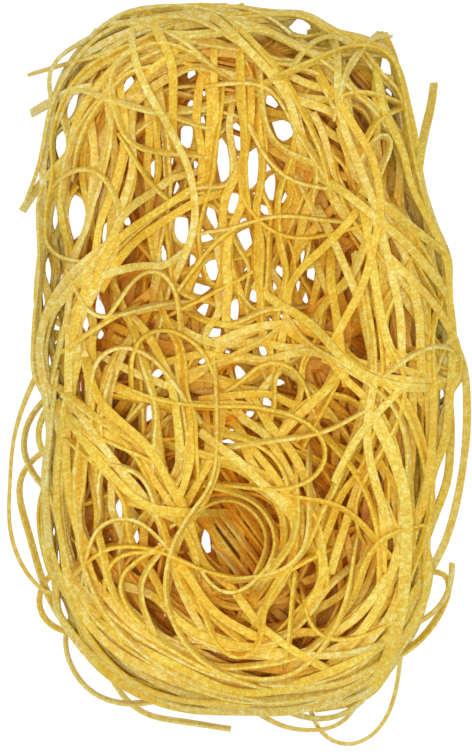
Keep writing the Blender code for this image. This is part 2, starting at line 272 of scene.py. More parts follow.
# Gaps that one can see through: middle x, y, half width, half height, and where they lean, how far
# to the right in degrees
GAPS = (
    (76, 96, 2.5, 4.5), (69, 114, 3.5, 9), (61, 143, 6.5, 15), (49, 165, 2, 5), (128, 84, 4, 10, 20),
    (153, 169, 2.5, 12), (162, 144, 2, 2.5), (77, 215, 9, 22), (55, 220, 3, 13), (105, 233, 2.5, 12),
    (127, 222, 3.5, 6), (48, 272, 4, 12), (44, 297, 2.5, 8), (100, 312, 8, 3.5), (87, 325, 6, 5),
    (100, 334, 3, 6, 45), (50, 364, 2.5, 5), (158, 373, 4.5, 5), (192, 74, 3.5, 7.5, 50),
    (204, 93, 2.5, 5), (190, 104, 4, 3.5), (203, 121, 4, 6), (187, 136, 8, 13), (173, 162, 3, 3.5),
    (195, 164, 3.5, 5), (177, 187, 3, 8), (236, 127, 4.5, 6), (237, 147, 4.5, 13), (224, 161, 6.5, 28),
    (253, 170, 6.5, 28), (270, 186, 7, 18), (284, 197, 3.5, 7), (270, 101, 5, 7.5), (284, 131, 10, 12),
    (234, 205, 6, 17), (241, 218, 6, 5), (265, 208, 6.5, 7), (212, 216, 5, 15, -12),
    (180, 231, 9.5, 18), (173, 210, 3, 4), (206, 238, 7.5, 6), (193, 257, 5, 10), (164, 257, 3.5, 9),
    (213, 269, 6.5, 20, 8), (219, 252, 3, 7), (246, 239, 5.5, 14), (247, 267, 1.5, 7), (279, 272, 5, 7),
    (275, 285, 4.5, 4.5), (253, 299, 4, 12), (303, 255, 3.5, 6), (310, 274, 7, 6), (300, 288, 5.5, 6),
    (304, 299, 5, 6), (295, 304, 3, 3), (200, 289, 8, 10), (204, 308, 6, 9), (216, 311, 2.5, 6.5),
    (223, 296, 3, 8), (234, 308, 5.5, 17), (215, 333, 8, 7), (269, 318, 4, 4), (282, 317, 3, 3),
    (267, 332, 4, 4), (263, 351, 4.5, 7), (227, 352, 4.5, 3.5), (203, 361, 3, 5), (238, 372, 3.5, 11),
    (279, 382, 3, 5), (149, 413, 3.5, 10), (230, 431, 5, 4), (231, 440, 9, 3.5), (266, 402, 6, 6),
    (251, 414, 7, 5), (119, 508, 4, 9), (136, 537, 3.5, 6), (206, 541, 4, 15), (300, 27, 8, 10, 30),
    (386, 66, 6, 9), (389, 92, 4, 4.5), (47, 608, 6, 15, -20), (63, 606, 4, 14, -20),
    (50, 588, 4, 10, -15), (457, 405, 4, 22), (442, 398, 3, 7), (441, 479, 6, 20, 12),
    (436, 537, 7, 10, 20), (440, 590, 6, 19, 25), (30, 435, 5, 20, 12), (43, 437, 4, 11, 5),
    (37, 470, 4, 9, -10),
)

# Dark pockets between the upper noodles, where one sees down to the lower ones; as for the gaps
POCKETS = (
    (275, 48, 11, 27, -57), (288, 31, 6, 17, -40), (324, 44, 10, 16, 70), (252, 61, 4, 13, -40),
    (308, 77, 9, 8), (362, 74, 13, 20, 25), (392, 100, 8, 22), (362, 118, 12, 20, -15),
    (311, 127, 7, 30, -27), (330, 125, 7, 20, -20), (384, 150, 5, 18, 30), (393, 175, 8, 28, 18),
    (412, 210, 8, 30, -35), (342, 158, 6, 9, -20), (346, 180, 4, 20, -30), (361, 193, 5, 14, -55),
    (303, 172, 10, 17, -65), (319, 201, 9, 10), (293, 208, 15, 5.5, 10), (298, 227, 19, 9),
    (334, 218, 5, 8, 40), (262, 102, 3.5, 6), (271, 120, 10, 8), (287, 148, 7, 3, 20), (138, 14, 10, 5),
    (113, 33, 3, 8, 50), (120, 92, 4, 7), (103, 120, 6, 13, 10), (84, 150, 5, 11), (71, 128, 4, 5),
    (112, 166, 4, 7), (71, 187, 5, 6.5), (125, 184, 4, 5), (138, 212, 6, 10, -20), (155, 205, 4, 5.5),
    (164, 195, 4, 9, -35), (183, 181, 4.5, 6), (112, 226, 4, 8, -20), (138, 137, 9, 5, 20),
    (50, 210, 3.5, 8.5), (87, 246, 10, 10), (60, 248, 5, 14, -50), (131, 258, 7, 26, 65),
    (200, 27, 13, 6, -20), (219, 56, 4.5, 4.5), (155, 77, 5, 3.5), (144, 63, 4, 4),
    (218, 205, 4, 7, -20), (206, 224, 3, 4), (212, 137, 2.5, 8, 25), (57, 280, 8, 18, 20),
    (57, 325, 7, 28, 18), (106, 297, 12, 15, 30), (140, 292, 11, 25, 45), (167, 295, 5, 8, 30),
    (172, 313, 10, 7), (108, 338, 8, 30, 65), (148, 318, 6, 8), (144, 340, 6, 7), (168, 345, 11, 13),
    (100, 370, 5, 14, 25), (83, 390, 8, 18, -15), (113, 405, 7, 13, -20), (135, 369, 3, 6),
    (122, 387, 3, 6), (165, 391, 7, 8), (159, 409, 5, 6), (138, 427, 10, 9), (169, 430, 4, 14),
    (170, 460, 9, 10), (58, 382, 4, 14, -50), (50, 447, 5, 10), (49, 472, 3.5, 13, -20),
    (109, 431, 2.5, 10, -65), (125, 455, 7, 16, -55), (141, 487, 7, 16, -35), (106, 490, 8, 12, 20),
    (195, 385, 10, 18), (200, 325, 8, 16, -15), (224, 322, 8, 6), (216, 354, 5, 6), (228, 375, 7, 18),
    (204, 488, 6, 11, 10), (202, 442, 6, 10, 25), (188, 270, 4, 7), (203, 272, 4, 7, -20),
    (211, 418, 4, 6), (226, 480, 8, 15, 15), (290, 262, 10, 13), (264, 285, 8, 18), (246, 290, 4, 12),
    (257, 258, 6, 6), (329, 269, 5.5, 8, -15), (348, 260, 3.5, 7, -15), (396, 255, 6, 18, -35),
    (440, 265, 6, 11, -30), (337, 318, 12, 22, -20), (358, 352, 9, 20, -40), (403, 330, 20, 18),
    (440, 333, 12, 8, -20), (281, 341, 11, 13, 30), (311, 338, 9, 6), (316, 372, 15, 22),
    (258, 378, 14, 14), (288, 385, 14, 20, -20), (248, 362, 6, 9, 15), (252, 430, 14, 9),
    (276, 421, 8, 9), (297, 428, 4.5, 4.5), (343, 437, 5, 13, 22), (359, 465, 4.5, 8), (288, 453, 5, 6),
    (272, 463, 4, 10, -45), (403, 455, 3.5, 11, -20), (418, 482, 7, 11), (326, 488, 7, 10, 25),
    (424, 417, 3, 5), (399, 374, 4, 5), (346, 497, 6, 6, 30), (240, 483, 6, 6), (54, 545, 8, 24),
    (73, 542, 6, 24, -10), (90, 515, 12, 18, 20), (108, 537, 11, 22, 55), (97, 568, 6, 13),
    (116, 570, 6, 18, 15), (132, 558, 10, 5), (131, 600, 5, 16, -25), (159, 617, 9, 28, -30),
    (178, 598, 4, 12, -40), (152, 545, 7, 15, 80), (172, 533, 7, 7), (186, 552, 8, 14, -30),
    (244, 548, 34, 25), (222, 588, 12, 5), (92, 642, 6, 22, -40), (134, 508, 8, 10, -40),
    (218, 656, 4, 26, -65), (258, 674, 5, 18, -70), (155, 523, 8, 4, -30), (274, 617, 13, 17),
    (302, 642, 11, 12, -10), (306, 578, 17, 20, 30), (322, 618, 11, 17, 20), (336, 592, 9, 16, 30),
    (343, 562, 7, 16, 30), (330, 542, 5, 16, 25), (364, 572, 6, 25, 18), (362, 597, 5, 17, 48),
    (392, 546, 5, 11, -15), (387, 568, 3, 5), (385, 612, 6, 9, 30), (380, 636, 4, 9, 35),
    (341, 634, 5, 3.5), (258, 603, 6, 8), (289, 560, 4, 6, 10), (315, 544, 4, 5), (416, 576, 5, 7),
    (423, 522, 4, 14, 10), (270, 512, 10, 20, -35), (362, 508, 6, 10), (296, 506, 3.5, 6),
    (433, 555, 5, 8),
)

# Bundles of noodles that run side by side: how many, how far they spread to each side in pixels,
# how much they wander in pixels, and the x and y of each point of the line that they follow
BUNDLES = (
    (9, 24, 5, 60, 175, 50, 240, 44, 310, 46, 380, 58, 450, 72, 520, 92, 580),
    (13, 34, 5, 96, 330, 84, 400, 76, 470, 82, 540, 104, 600, 150, 648, 225, 684),
    (10, 26, 5, 440, 300, 438, 380, 430, 460, 420, 530, 404, 600, 374, 655),
    (11, 22, 5, 80, 560, 104, 612, 152, 654, 220, 684, 300, 690, 364, 664, 404, 606),
    (9, 26, 6, 105, 560, 124, 604, 172, 640, 240, 664, 310, 662, 360, 630, 392, 570),
    (7, 16, 5, 140, 585, 160, 625, 205, 650, 262, 652, 318, 632, 352, 590),
    (9, 20, 5, 46, 260, 44, 190, 56, 120, 84, 66, 140, 32, 200, 24),
    (7, 18, 6, 70, 200, 74, 140, 100, 90, 140, 60, 190, 52),
    (9, 18, 5, 150, 22, 220, 24, 290, 34, 350, 54, 386, 100, 402, 160, 420, 220),
    (9, 26, 6, 330, 50, 356, 100, 372, 160, 392, 220, 424, 280, 446, 340),
    (7, 14, 4, 200, 180, 160, 208, 122, 236, 98, 270, 70, 300, 52, 345),
    (8, 24, 6, 112, 100, 120, 150, 110, 200, 92, 260, 70, 310, 58, 370),
    (8, 26, 6, 335, 150, 350, 200, 390, 250, 420, 300, 440, 360),
    (9, 26, 6, 396, 190, 384, 250, 360, 310, 330, 360, 290, 410, 262, 450),
    (8, 22, 6, 380, 290, 388, 340, 380, 400, 360, 450, 340, 500, 330, 560),
    (8, 26, 6, 300, 330, 340, 360, 390, 400, 410, 460, 412, 530, 404, 600),
    (8, 24, 6, 120, 300, 150, 340, 170, 390, 178, 440, 184, 490),
    (8, 26, 7, 60, 400, 100, 440, 140, 480, 170, 530, 190, 590, 230, 640),
    (7, 24, 6, 200, 390, 206, 440, 190, 490, 160, 540, 150, 590),
    (7, 22, 6, 236, 400, 260, 440, 290, 480, 304, 530, 296, 580, 270, 620),
    (6, 16, 6, 190, 460, 240, 470, 290, 500, 316, 550, 310, 600),
    (6, 16, 5, 330, 430, 370, 460, 396, 520, 396, 580),
    (6, 14, 5, 240, 350, 290, 340, 330, 350, 390, 372, 440, 380),
    (5, 14, 5, 150, 300, 190, 320, 240, 330, 290, 318),
    (4, 22, 9, 120, 388, 170, 402, 230, 408, 290, 424, 330, 450),
    (4, 10, 4, 214, 70, 213, 130, 209, 180, 196, 240, 182, 290),
    (4, 9, 4, 243, 85, 244, 150, 240, 186, 222, 240, 226, 300, 222, 350),
    (4, 9, 4, 262, 110, 262, 180, 254, 210, 262, 250, 264, 300, 276, 360),
    (4, 10, 4, 300, 110, 300, 180, 290, 230, 290, 270, 284, 330),
    (5, 12, 4, 160, 110, 164, 190, 150, 230, 150, 280),
)

# The noodles that lie side by side at the bottom of the eye, as a bundle
EYE_FAN = (8, 30, 2, 196, 484, 214, 510, 236, 538, 258, 566, 276, 592)

# Noodles that show one by one, the lowest first. The first word is how the noodle lies: flat, wide,
# half on its edge or on its edge. The two letters say how its ends look: h hidden in the heap, c cut.
# Then come the x and y of each of its points.
SINGLES = (
    ("flat hh", 384, 330, 378, 300, 372, 262, 366, 225),
    ("flat hh", 402, 345, 400, 310, 392, 275, 384, 240),
    ("flat hh", 420, 350, 420, 315, 412, 285),
    ("flat hh", 340, 345, 336, 310, 330, 280, 332, 250),
    ("half hh", 130, 52, 116, 62, 110, 78, 112, 98),
    ("edge hh", 230, 5, 245, 6, 264, 15),
    ("half hh", 264, 15, 284, 12, 304, 15, 326, 29),
    ("half hh", 299, 57, 307, 43, 326, 34, 338, 31, 347, 42),
    ("flat hh", 145, 75, 154, 66, 165, 58),
    ("half hh", 99, 96, 122, 104, 145, 110, 168, 115, 191, 121),
    ("half hh", 115, 107, 121, 133, 127, 142, 138, 150, 176, 153),
    ("half hh", 133, 158, 145, 176, 162, 199),
    ("half hh", 61, 176, 76, 165, 95, 164, 107, 173, 113, 191),
    ("half hc", 86, 59, 72, 62, 52, 68, 31, 74),
    ("flat hc", 60, 98, 46, 104, 32, 113),
    ("flat hc", 48, 172, 35, 190, 23, 210),
    ("edge hh", 83, 41, 61, 54, 49, 66, 46, 84, 50, 93),
    ("edge ch", 26, 200, 35, 178, 42, 153, 50, 107, 69, 69, 92, 41, 122, 23, 153, 26, 184, 41, 207, 61),
    ("half hh", 145, 20, 176, 14, 199, 20, 214, 27, 240, 44),
    ("half hh", 153, 9, 184, 6, 214, 12, 240, 26),
    ("half hh", 138, 50, 153, 41, 176, 46, 199, 57, 214, 69),
    ("flat hh", 162, 41, 170, 54, 174, 69, 173, 92, 173, 107),
    ("flat hh", 130, 27, 132, 50, 138, 73, 151, 99, 165, 119, 178, 141, 188, 161, 194, 191, 197, 221, 191,
     244, 181, 266),
    ("half hh", 241, 86, 244, 123, 245, 154, 247, 185),
    ("half hh", 230, 83, 253, 80, 273, 83, 284, 105, 296, 128, 310, 151, 323, 170),
    ("half hh", 261, 99, 264, 123, 276, 147, 304, 160),
    ("edge hh", 256, 139, 269, 162, 292, 182, 321, 187),
    ("half hh", 230, 20, 253, 42, 276, 66, 295, 96, 307, 120, 323, 154, 329, 185),
    ("flat hh", 230, 31, 245, 46, 269, 71, 289, 96, 296, 123),
    ("flat hh", 338, 62, 338, 93, 341, 116, 349, 143, 361, 170, 372, 199),
    ("half hh", 369, 148, 378, 131, 392, 127, 397, 134, 384, 162),
    ("half hh", 369, 133, 378, 114, 397, 110),
    ("edge hh", 350, 93, 363, 86, 378, 93),
    ("half hh", 361, 51, 347, 65, 343, 86),
    ("half hh", 292, 71, 323, 57, 347, 46, 366, 43, 384, 49, 398, 69, 403, 100, 407, 131, 415, 170, 423,
     199),
    ("half hc", 362, 50, 369, 38, 379, 31, 389, 36),
    ("flat ch", 434, 84, 431, 108, 424, 134, 419, 166),
    ("flat hh", 344, 111, 358, 133, 373, 156, 381, 199, 380, 221, 372, 252, 367, 276, 357, 298, 344, 321,
     336, 337),
    ("edge hh", 44, 244, 52, 256, 66, 263, 80, 262),
    ("half hh", 38, 205, 41, 251, 40, 282, 36, 312, 34, 343, 33, 374),
    ("flat hh", 92, 256, 69, 277, 54, 297, 41, 328, 38, 358, 43, 381),
    ("flat hh", 165, 258, 140, 263, 120, 270, 103, 275),
    ("edge hh", 80, 297, 86, 312, 98, 320, 116, 317, 138, 308, 168, 302),
    ("edge hh", 83, 337, 95, 328, 119, 315),
    ("edge hh", 110, 315, 122, 297, 132, 279, 142, 266, 156, 263, 168, 271, 178, 288, 179, 305),
    ("flat hh", 188, 191, 161, 210, 135, 224, 115, 239, 104, 254, 98, 274),
    ("flat hh", 198, 200, 170, 217, 146, 232, 126, 248, 114, 266),
    ("edge hh", 194, 302, 214, 294, 222, 289),
    ("edge hh", 191, 270, 204, 251, 217, 240, 240, 228),
    ("edge hh", 230, 227, 253, 219, 273, 215, 298, 215, 316, 219),
    ("edge hh", 256, 221, 281, 238, 299, 241, 323, 236),
    ("flat hh", 332, 236, 341, 258, 352, 283),
    ("flat hh", 282, 324, 285, 301, 287, 283, 302, 266, 326, 247, 347, 224),
    ("flat hh", 341, 190, 361, 205, 384, 225, 407, 244, 431, 272, 449, 298),
    ("flat hh", 384, 205, 407, 224, 431, 242, 450, 258),
    ("flat hh", 395, 264, 415, 283, 438, 307, 456, 341, 466, 370),
    ("edge hh", 241, 313, 261, 306, 284, 306),
    ("flat hh", 230, 333, 253, 326, 284, 323),
    ("half hh", 230, 357, 253, 346, 275, 329),
    ("edge hh", 292, 321, 304, 341, 329, 355, 347, 366),
    ("half hh", 384, 375, 400, 363, 423, 347, 446, 343, 460, 352),
    ("flat hh", 287, 309, 307, 318, 323, 333, 338, 357, 361, 375, 384, 384, 407, 389, 436, 388),
    ("edge hh", 244, 374, 258, 361, 276, 357, 295, 364, 306, 380, 310, 398),
    ("edge hh", 90, 389, 92, 366, 101, 352, 118, 345, 138, 348, 153, 357, 168, 374, 178, 389),
    ("edge hh", 130, 371, 129, 355, 133, 340, 145, 329, 164, 326, 184, 332, 199, 345, 210, 360, 214, 374),
    ("half hh", 66, 560, 58, 520, 56, 480, 60, 440, 64, 410),
    ("half hh", 84, 560, 78, 520, 76, 480, 80, 440),
    ("half hh", 48, 540, 46, 500, 44, 470, 48, 430, 52, 405),
    ("flat ch", 63, 394, 80, 414, 94, 434, 107, 452, 125, 474, 140, 492),
    ("half hh", 80, 405, 95, 418, 112, 427, 130, 438),
    ("flat hh", 90, 378, 95, 396, 108, 412, 126, 427, 144, 442, 158, 460, 168, 484, 176, 496),
    ("edge hh", 100, 438, 120, 447, 142, 456),
    ("edge hh", 120, 466, 136, 469, 148, 480, 153, 498),
    ("flat hh", 80, 436, 96, 458, 112, 476, 128, 493, 146, 506, 166, 514),
    ("edge hh", 88, 552, 93, 530, 106, 518, 128, 515, 146, 524, 164, 545),
    ("edge hh", 87, 562, 101, 549, 128, 545, 154, 549, 176, 557, 196, 568, 238, 579, 262, 579, 284, 574,
     300, 564),
    ("edge hh", 104, 590, 105, 570, 112, 556, 130, 551, 153, 552),
    ("edge hh", 148, 631, 130, 611, 118, 592, 117, 580, 124, 569, 140, 560),
    ("half hh", 153, 632, 145, 616, 139, 593, 140, 574, 150, 565),
    ("half hh", 106, 566, 109, 586, 117, 602, 130, 617, 153, 636, 190, 660, 222, 674),
    ("half hh", 86, 570, 98, 601, 122, 634, 161, 665, 199, 685, 240, 695),
    ("half hh", 61, 578, 73, 608, 92, 643, 115, 669, 138, 686, 176, 700, 214, 703),
    ("half hh", 200, 508, 212, 500, 228, 496, 244, 501, 258, 513, 267, 528, 270, 546, 262, 562),
    ("flat hc", 150, 508, 162, 512, 184, 513, 208, 513, 231, 513),
    ("half hh", 230, 490, 250, 497, 266, 510, 276, 530, 278, 552, 268, 568),
    ("flat hh", 222, 449, 238, 460, 254, 476, 268, 489, 282, 502),
    ("edge hh", 240, 440, 260, 444, 276, 453, 285, 468, 288, 482),
    ("half hh", 309, 480, 310, 516, 307, 548, 292, 566, 269, 577, 236, 580),
    ("half hh", 296, 500, 298, 524, 290, 548, 276, 564),
    ("flat hh", 372, 395, 366, 428, 369, 458, 376, 486, 384, 510),
    ("flat hh", 434, 389, 433, 420, 432, 450, 428, 482),
    ("edge hh", 261, 442, 299, 437, 329, 431, 350, 419),
    ("flat hc", 404, 386, 386, 404, 366, 426, 350, 449, 339, 472, 334, 482),
    ("edge hh", 140, 394, 158, 402, 186, 405, 216, 408, 246, 408, 274, 410, 300, 418, 320, 430, 330, 446,
     329, 464, 316, 480, 294, 489, 268, 490, 250, 487),
    ("half hh", 304, 499, 326, 501, 344, 508, 360, 521, 373, 537),
    ("half hh", 404, 530, 388, 533, 376, 544, 366, 560, 360, 580),
    ("half hh", 198, 596, 206, 617, 214, 640, 222, 654, 240, 661, 255, 655, 262, 637, 262, 615, 268, 595,
     280, 578),
    ("edge hh", 205, 578, 213, 591, 230, 597, 245, 592, 256, 580),
    ("flat hh", 196, 588, 208, 608, 226, 621, 246, 632),
    ("flat hh", 266, 630, 282, 643, 300, 655, 314, 662),
    ("half hh", 292, 600, 291, 620, 289, 645),
    ("edge hh", 306, 608, 309, 626, 320, 638, 346, 641, 369, 634, 386, 625),
    ("half hh", 320, 656, 346, 655, 382, 644),
    ("half hh", 310, 688, 345, 683, 372, 668),
    ("edge hh", 353, 565, 350, 590, 343, 610, 334, 632, 316, 658, 299, 672, 276, 680, 245, 679, 222, 673),
    ("wide hc", 378, 424, 388, 443, 397, 466, 404, 491, 407, 519, 406, 550, 404, 580, 401, 612, 392, 645,
     382, 672, 371, 686),
    ("edge hh", 216, 374, 217, 400, 217, 430, 217, 456, 214, 480, 205, 496, 192, 512, 178, 534, 169, 558,
     165, 580, 166, 600, 171, 617, 181, 637, 194, 654, 212, 668, 240, 680),
)

# Loose noodles round the foot: how they lie and their ends, the height above the floor in
# millimetres, and the x and y of each point
LOOSE = (
    ("edge hh", 7, 42, 362, 34, 380, 22, 406, 13, 438, 10, 460, 11, 482, 8, 502, 8, 524, 13, 548, 23, 571,
     37, 587, 52, 592),
    ("half hh", 9, 60, 388, 45, 396, 33, 410, 23, 436, 20, 450, 25, 463, 36, 478, 46, 492, 60, 500),
    ("half hh", 5, 62, 440, 42, 451, 24, 465, 15, 479, 18, 498, 26, 524, 33, 545, 37, 566, 46, 590, 55,
     609, 66, 628, 84, 645),
    ("half hh", 11, 50, 404, 40, 418, 36, 434, 39, 452, 52, 464),
    ("half hh", 6, 46, 480, 39, 500, 38, 520, 42, 545, 48, 566, 56, 590, 70, 610),
    ("half hh", 4, 62, 566, 50, 574, 38, 585, 34, 600, 36, 614, 45, 626, 59, 634, 78, 634),
    ("half hh", 7, 52, 560, 60, 588, 68, 606, 73, 622, 80, 642),
    ("edge hh", 4, 70, 618, 63, 640, 68, 660, 78, 680, 91, 693, 107, 701, 132, 705, 160, 700),
    ("edge hc", 3, 104, 664, 113, 680, 122, 696, 137, 710, 156, 718, 181, 721, 205, 725, 231, 729),
    ("edge hh", 4, 240, 700, 259, 714, 281, 727, 307, 731, 332, 729, 347, 722, 356, 706, 364, 690),
    ("half hh", 6, 270, 700, 288, 713, 316, 720, 338, 718, 354, 709, 372, 692),
    ("edge hh", 3, 306, 688, 309, 706, 313, 722, 322, 736, 339, 746, 359, 745, 378, 732, 391, 710, 397,
     686, 400, 664, 402, 640),
    ("half hh", 7, 433, 560, 430, 585, 424, 606, 414, 628, 400, 650),
    ("half ch", 8, 452, 563, 453, 575, 448, 594, 436, 612, 420, 622, 400, 630),
    ("half hh", 6, 424, 572, 436, 566, 448, 568, 453, 577, 448, 600, 436, 622, 420, 642, 398, 658),
    ("flat hh", 9, 458, 346, 465, 368, 467, 396, 467, 430, 464, 460, 459, 492, 452, 522, 444, 546, 430,
     572),
    ("flat hh", 12, 448, 372, 449, 400, 451, 430, 450, 456, 444, 482, 436, 512, 424, 545, 412, 576),
    ("half hh", 10, 440, 330, 456, 345, 467, 362, 470, 384, 462, 396, 444, 402),
)


def spots(pixels):
    """Photo pixels as millimetres in plan."""
    pixels = np.array(pixels, float)
    return (pixels - MIDDLE) * (PIXEL, -PIXEL)


def evenly(points, step=STEP):
    """The same line with its points a step apart."""
    run = np.concatenate([[0], np.cumsum(np.linalg.norm(np.diff(points, axis=0), axis=1))])
    count = max(4, int(round(run[-1] / step)) + 1)
    wanted = np.linspace(0, run[-1], count)
    return np.stack([np.interp(wanted, run, points[:, i]) for i in range(points.shape[1])], axis=1)


def softened(values, passes):
    """The values along a line, each moved towards the mean of its neighbours; the ends stay."""
    values = values.copy()
    for _ in range(passes):
        values[1:-1] = (values[:-2] + 2 * values[1:-1] + values[2:]) / 4
    return values


def flowing(numbers):
    """A smooth line through the points whose x and y are given in turn, in photo pixels."""
    points = spots(np.reshape(numbers, (-1, 2)))
    ends = (2 * points[0] - points[1], 2 * points[-1] - points[-2])
    knots = np.vstack([ends[0], points, ends[1]])
    t = np.linspace(0, 1, SPLINE_POINTS, endpoint=False)[:, None]
    line = []
    for a, b, c, d in zip(knots, knots[1:], knots[2:], knots[3:]):
        square, cube = 2 * a - 5 * b + 4 * c - d, 3 * b - a - 3 * c + d
        line.append(0.5 * (2 * b + (c - a) * t + square * t**2 + cube * t**3))
    line.append(points[-1:])
    return softened(evenly(np.vstack(line)), 2)


def across_of(line):
    """Unit vectors across a plan line, to its left."""
    along = np.gradient(line, axis=0)
    along /= np.maximum(np.linalg.norm(along, axis=1), 1e-9)[:, None]
    return np.stack([-along[:, 1], along[:, 0]], axis=1)


def wander(count, chance, lengths=WAVE_LENGTHS):
    """A smooth random wave along a noodle, about -1 to 1."""
    run = np.arange(count) * STEP
    wave = np.zeros(count)
    for share in WAVE_SHARES:
        length = chance.uniform(*lengths)
        wave += share * np.sin(2 * math.pi * run / length + chance.uniform(0, 2 * math.pi))
    return wave * WAVE_GAIN


def plan_bend(line):
    """How sharply a plan line bends, in 1/mm."""
    along = np.gradient(line, axis=0)
    turn = np.gradient(np.unwrap(np.arctan2(along[:, 1], along[:, 0])))
    return np.abs(softened(turn, 6)) / STEP


class Ovals:
    """A set of ellipses in plan, from rows of middle, half sizes and lean in photo pixels."""

    def __init__(self, rows):
        rows = np.array([(*row, 0)[:5] for row in rows], float)
        self.middles = spots(rows[:, :2])
        self.radii = rows[:, 2:4] * PIXEL
        turns = np.radians(-rows[:, 4])
        self.cosine, self.sine = np.cos(turns), np.sin(turns)

    def local(self, points):
        """Each point as each ellipse sees it, along its own two axes."""
        apart = points[:, None] - self.middles
        return np.stack(
            [
                apart[:, :, 0] * self.cosine + apart[:, :, 1] * self.sine,
                apart[:, :, 1] * self.cosine - apart[:, :, 0] * self.sine,
            ],
            axis=2,
        )

    def holding(self, points, margin):
        """Which points lie in which ellipse, with a margin round it."""
        radii = np.maximum(self.radii + margin, 0.1)
        return np.linalg.norm(self.local(points) / radii, axis=2) < 1


BODY = spots(OUTLINE)
BODY_MIDDLE = spots((242, 362))
SEE_THROUGH = Ovals(GAPS)
DARK = Ovals(POCKETS)
# The larger pockets, by their smaller half size in pixels, are the ones that the tangle too is led
# round
LED_ROUND = (6, 16)
LARGE_POCKETS = Ovals([row for row in POCKETS if LED_ROUND[0] < min(row[2:4]) < LED_ROUND[1]])
EYE = Ovals([EYE_HOLE])


def inside_body(points):
    """Which points lie inside the body's edge."""
    inside = np.zeros(len(points), bool)
    x, y = points[:, 0], points[:, 1]
    for (ax, ay), (bx, by) in zip(BODY, np.roll(BODY, -1, axis=0)):
        crosses = (ay > y) != (by > y)
        with np.errstate(divide="ignore", invalid="ignore"):
            inside ^= crosses & (x < (bx - ax) * (y - ay) / (by - ay) + ax)
    return inside


def nearest_on_body(points):
    """The nearest point of the body's edge, and how far off it is."""
    starts, runs = BODY, np.roll(BODY, -1, axis=0) - BODY
    share = np.einsum("nsk,sk->ns", points[:, None] - starts, runs) / (runs**2).sum(1)
    places = starts + np.clip(share, 0, 1)[:, :, None] * runs
    gap = np.linalg.norm(points[:, None] - places, axis=2)
    best = gap.argmin(1)
    rows = np.arange(len(points))
    return places[rows, best], gap[rows, best]


def kept_in(line, margin):
    """The line with what lies outside the body, or within the margin of its edge, moved in."""
    place, gap = nearest_on_body(line)
    inside = inside_body(line)
    depth = np.where(inside, gap, -gap)
    short = np.maximum(margin - depth, 0)
    inwards = np.where(inside[:, None], line - place, place - line)
    inwards /= np.maximum(np.linalg.norm(inwards, axis=1), 1e-6)[:, None]
    return line + inwards * short[:, None]


def clear_of(ovals, line, margin, passes=6):
    """The line led round the ellipses that it would cross."""
    for _ in range(passes):
        inside = ovals.holding(line, margin)
        if not inside.any():
            break
        local = ovals.local(line)
        across = across_of(line)
        move = np.zeros(len(line))
        for k in np.flatnonzero(inside.any(0)):
            rows = np.flatnonzero(inside[:, k])
            way = across[rows[len(rows) // 2]]
            side = 1.0 if (line[rows] - ovals.middles[k]).mean(0) @ way > 0 else -1.0
            turned = side * np.array(
                (
                    way[0] * ovals.cosine[k] + way[1] * ovals.sine[k],
                    way[1] * ovals.cosine[k] - way[0] * ovals.sine[k],
                )
            )
            radii = ovals.radii[k] + margin
            p, d = local[rows, k] / radii, turned / radii
            a, b, c = (d @ d), p @ d, (p**2).sum(1) - 1
            out = (-b + np.sqrt(np.maximum(b * b - a * c, 0))) / a
            move[rows] += side * out
        spread = softened(move, 8)
        move = np.where(np.abs(spread) > np.abs(move), spread, move)
        line = line + across * move[:, None] * 0.9
        line = softened(line, 1)
    return line


class Heap:
    """What has been laid so far, as a map of heights."""

    def __init__(self):
        size = np.ceil(2 * MAP_HALF / CELL).astype(int)
        self.top = np.zeros(size)

    def cells(self, line, across, reach):
        """The cells under a noodle: for each point, those across its width."""
        share = np.linspace(-1, 1, CELLS_ACROSS)
        places = line[:, None] + across[:, None] * (reach[:, None] * share)[:, :, None]
        index = ((places + MAP_HALF) / CELL).astype(int)
        return (
            np.clip(index[:, :, 0], 0, self.top.shape[0] - 1),
            np.clip(index[:, :, 1], 0, self.top.shape[1] - 1),
        )

    def under(self, line, reach):
        """The height below each point of a noodle."""
        fine = evenly(line, FINE_STEP)
        wide = np.interp(np.linspace(0, 1, len(fine)), np.linspace(0, 1, len(line)), reach)
        top = self.top[self.cells(fine, across_of(fine), wide)].max(1)
        nearest = np.round(np.linspace(0, len(line) - 1, len(fine))).astype(int)
        found = np.zeros(len(line))
        np.maximum.at(found, nearest, top)
        return found

    def lay(self, line, reach, height):
        """Raises the map to the noodle's upper side."""
        fine = evenly(np.column_stack([line, reach, height]), FINE_STEP)
        rows, columns = self.cells(fine[:, :2], across_of(fine[:, :2]), fine[:, 2])
        np.maximum.at(self.top, (rows, columns), fine[:, 3:4])


def hung(lift):
    """The height of a soft noodle that rests on lift: it sags in an arc where nothing holds it."""
    run = np.arange(len(lift)) * STEP
    bend = run**2 / (2 * SAG_RADIUS)
    level = lift - bend
    chain = []
    for i, value in enumerate(level):
        while len(chain) > 1:
            j, k = chain[-2], chain[-1]
            if (level[k] - level[j]) * (i - j) <= (value - level[j]) * (k - j):
                chain.pop()
            else:
                break
        chain.append(i)
    return np.interp(run, run[chain], level[chain]) + bend


def roll_of(line, way, chance):
    """How far a noodle is turned about its run, in radians: 0 lies flat, a right angle on edge.
    A flat noodle can't bend sideways, so it stands on its edge in tight bends."""
    middle, sway, _, turned = LIES[way]
    side = chance.choice((-1, 1))
    roll = middle + sway * wander(len(line), chance, ROLL_WAVES)
    bend = plan_bend(line)
    tight = np.clip((bend - 1 / FLAT_BEND) / (1 / EDGEWISE_BEND - 1 / FLAT_BEND), 0, 1)
    roll = roll + (turned - roll) * softened(tight, 6)
    return np.radians(np.clip(roll, *ROLL_RANGE)) * side


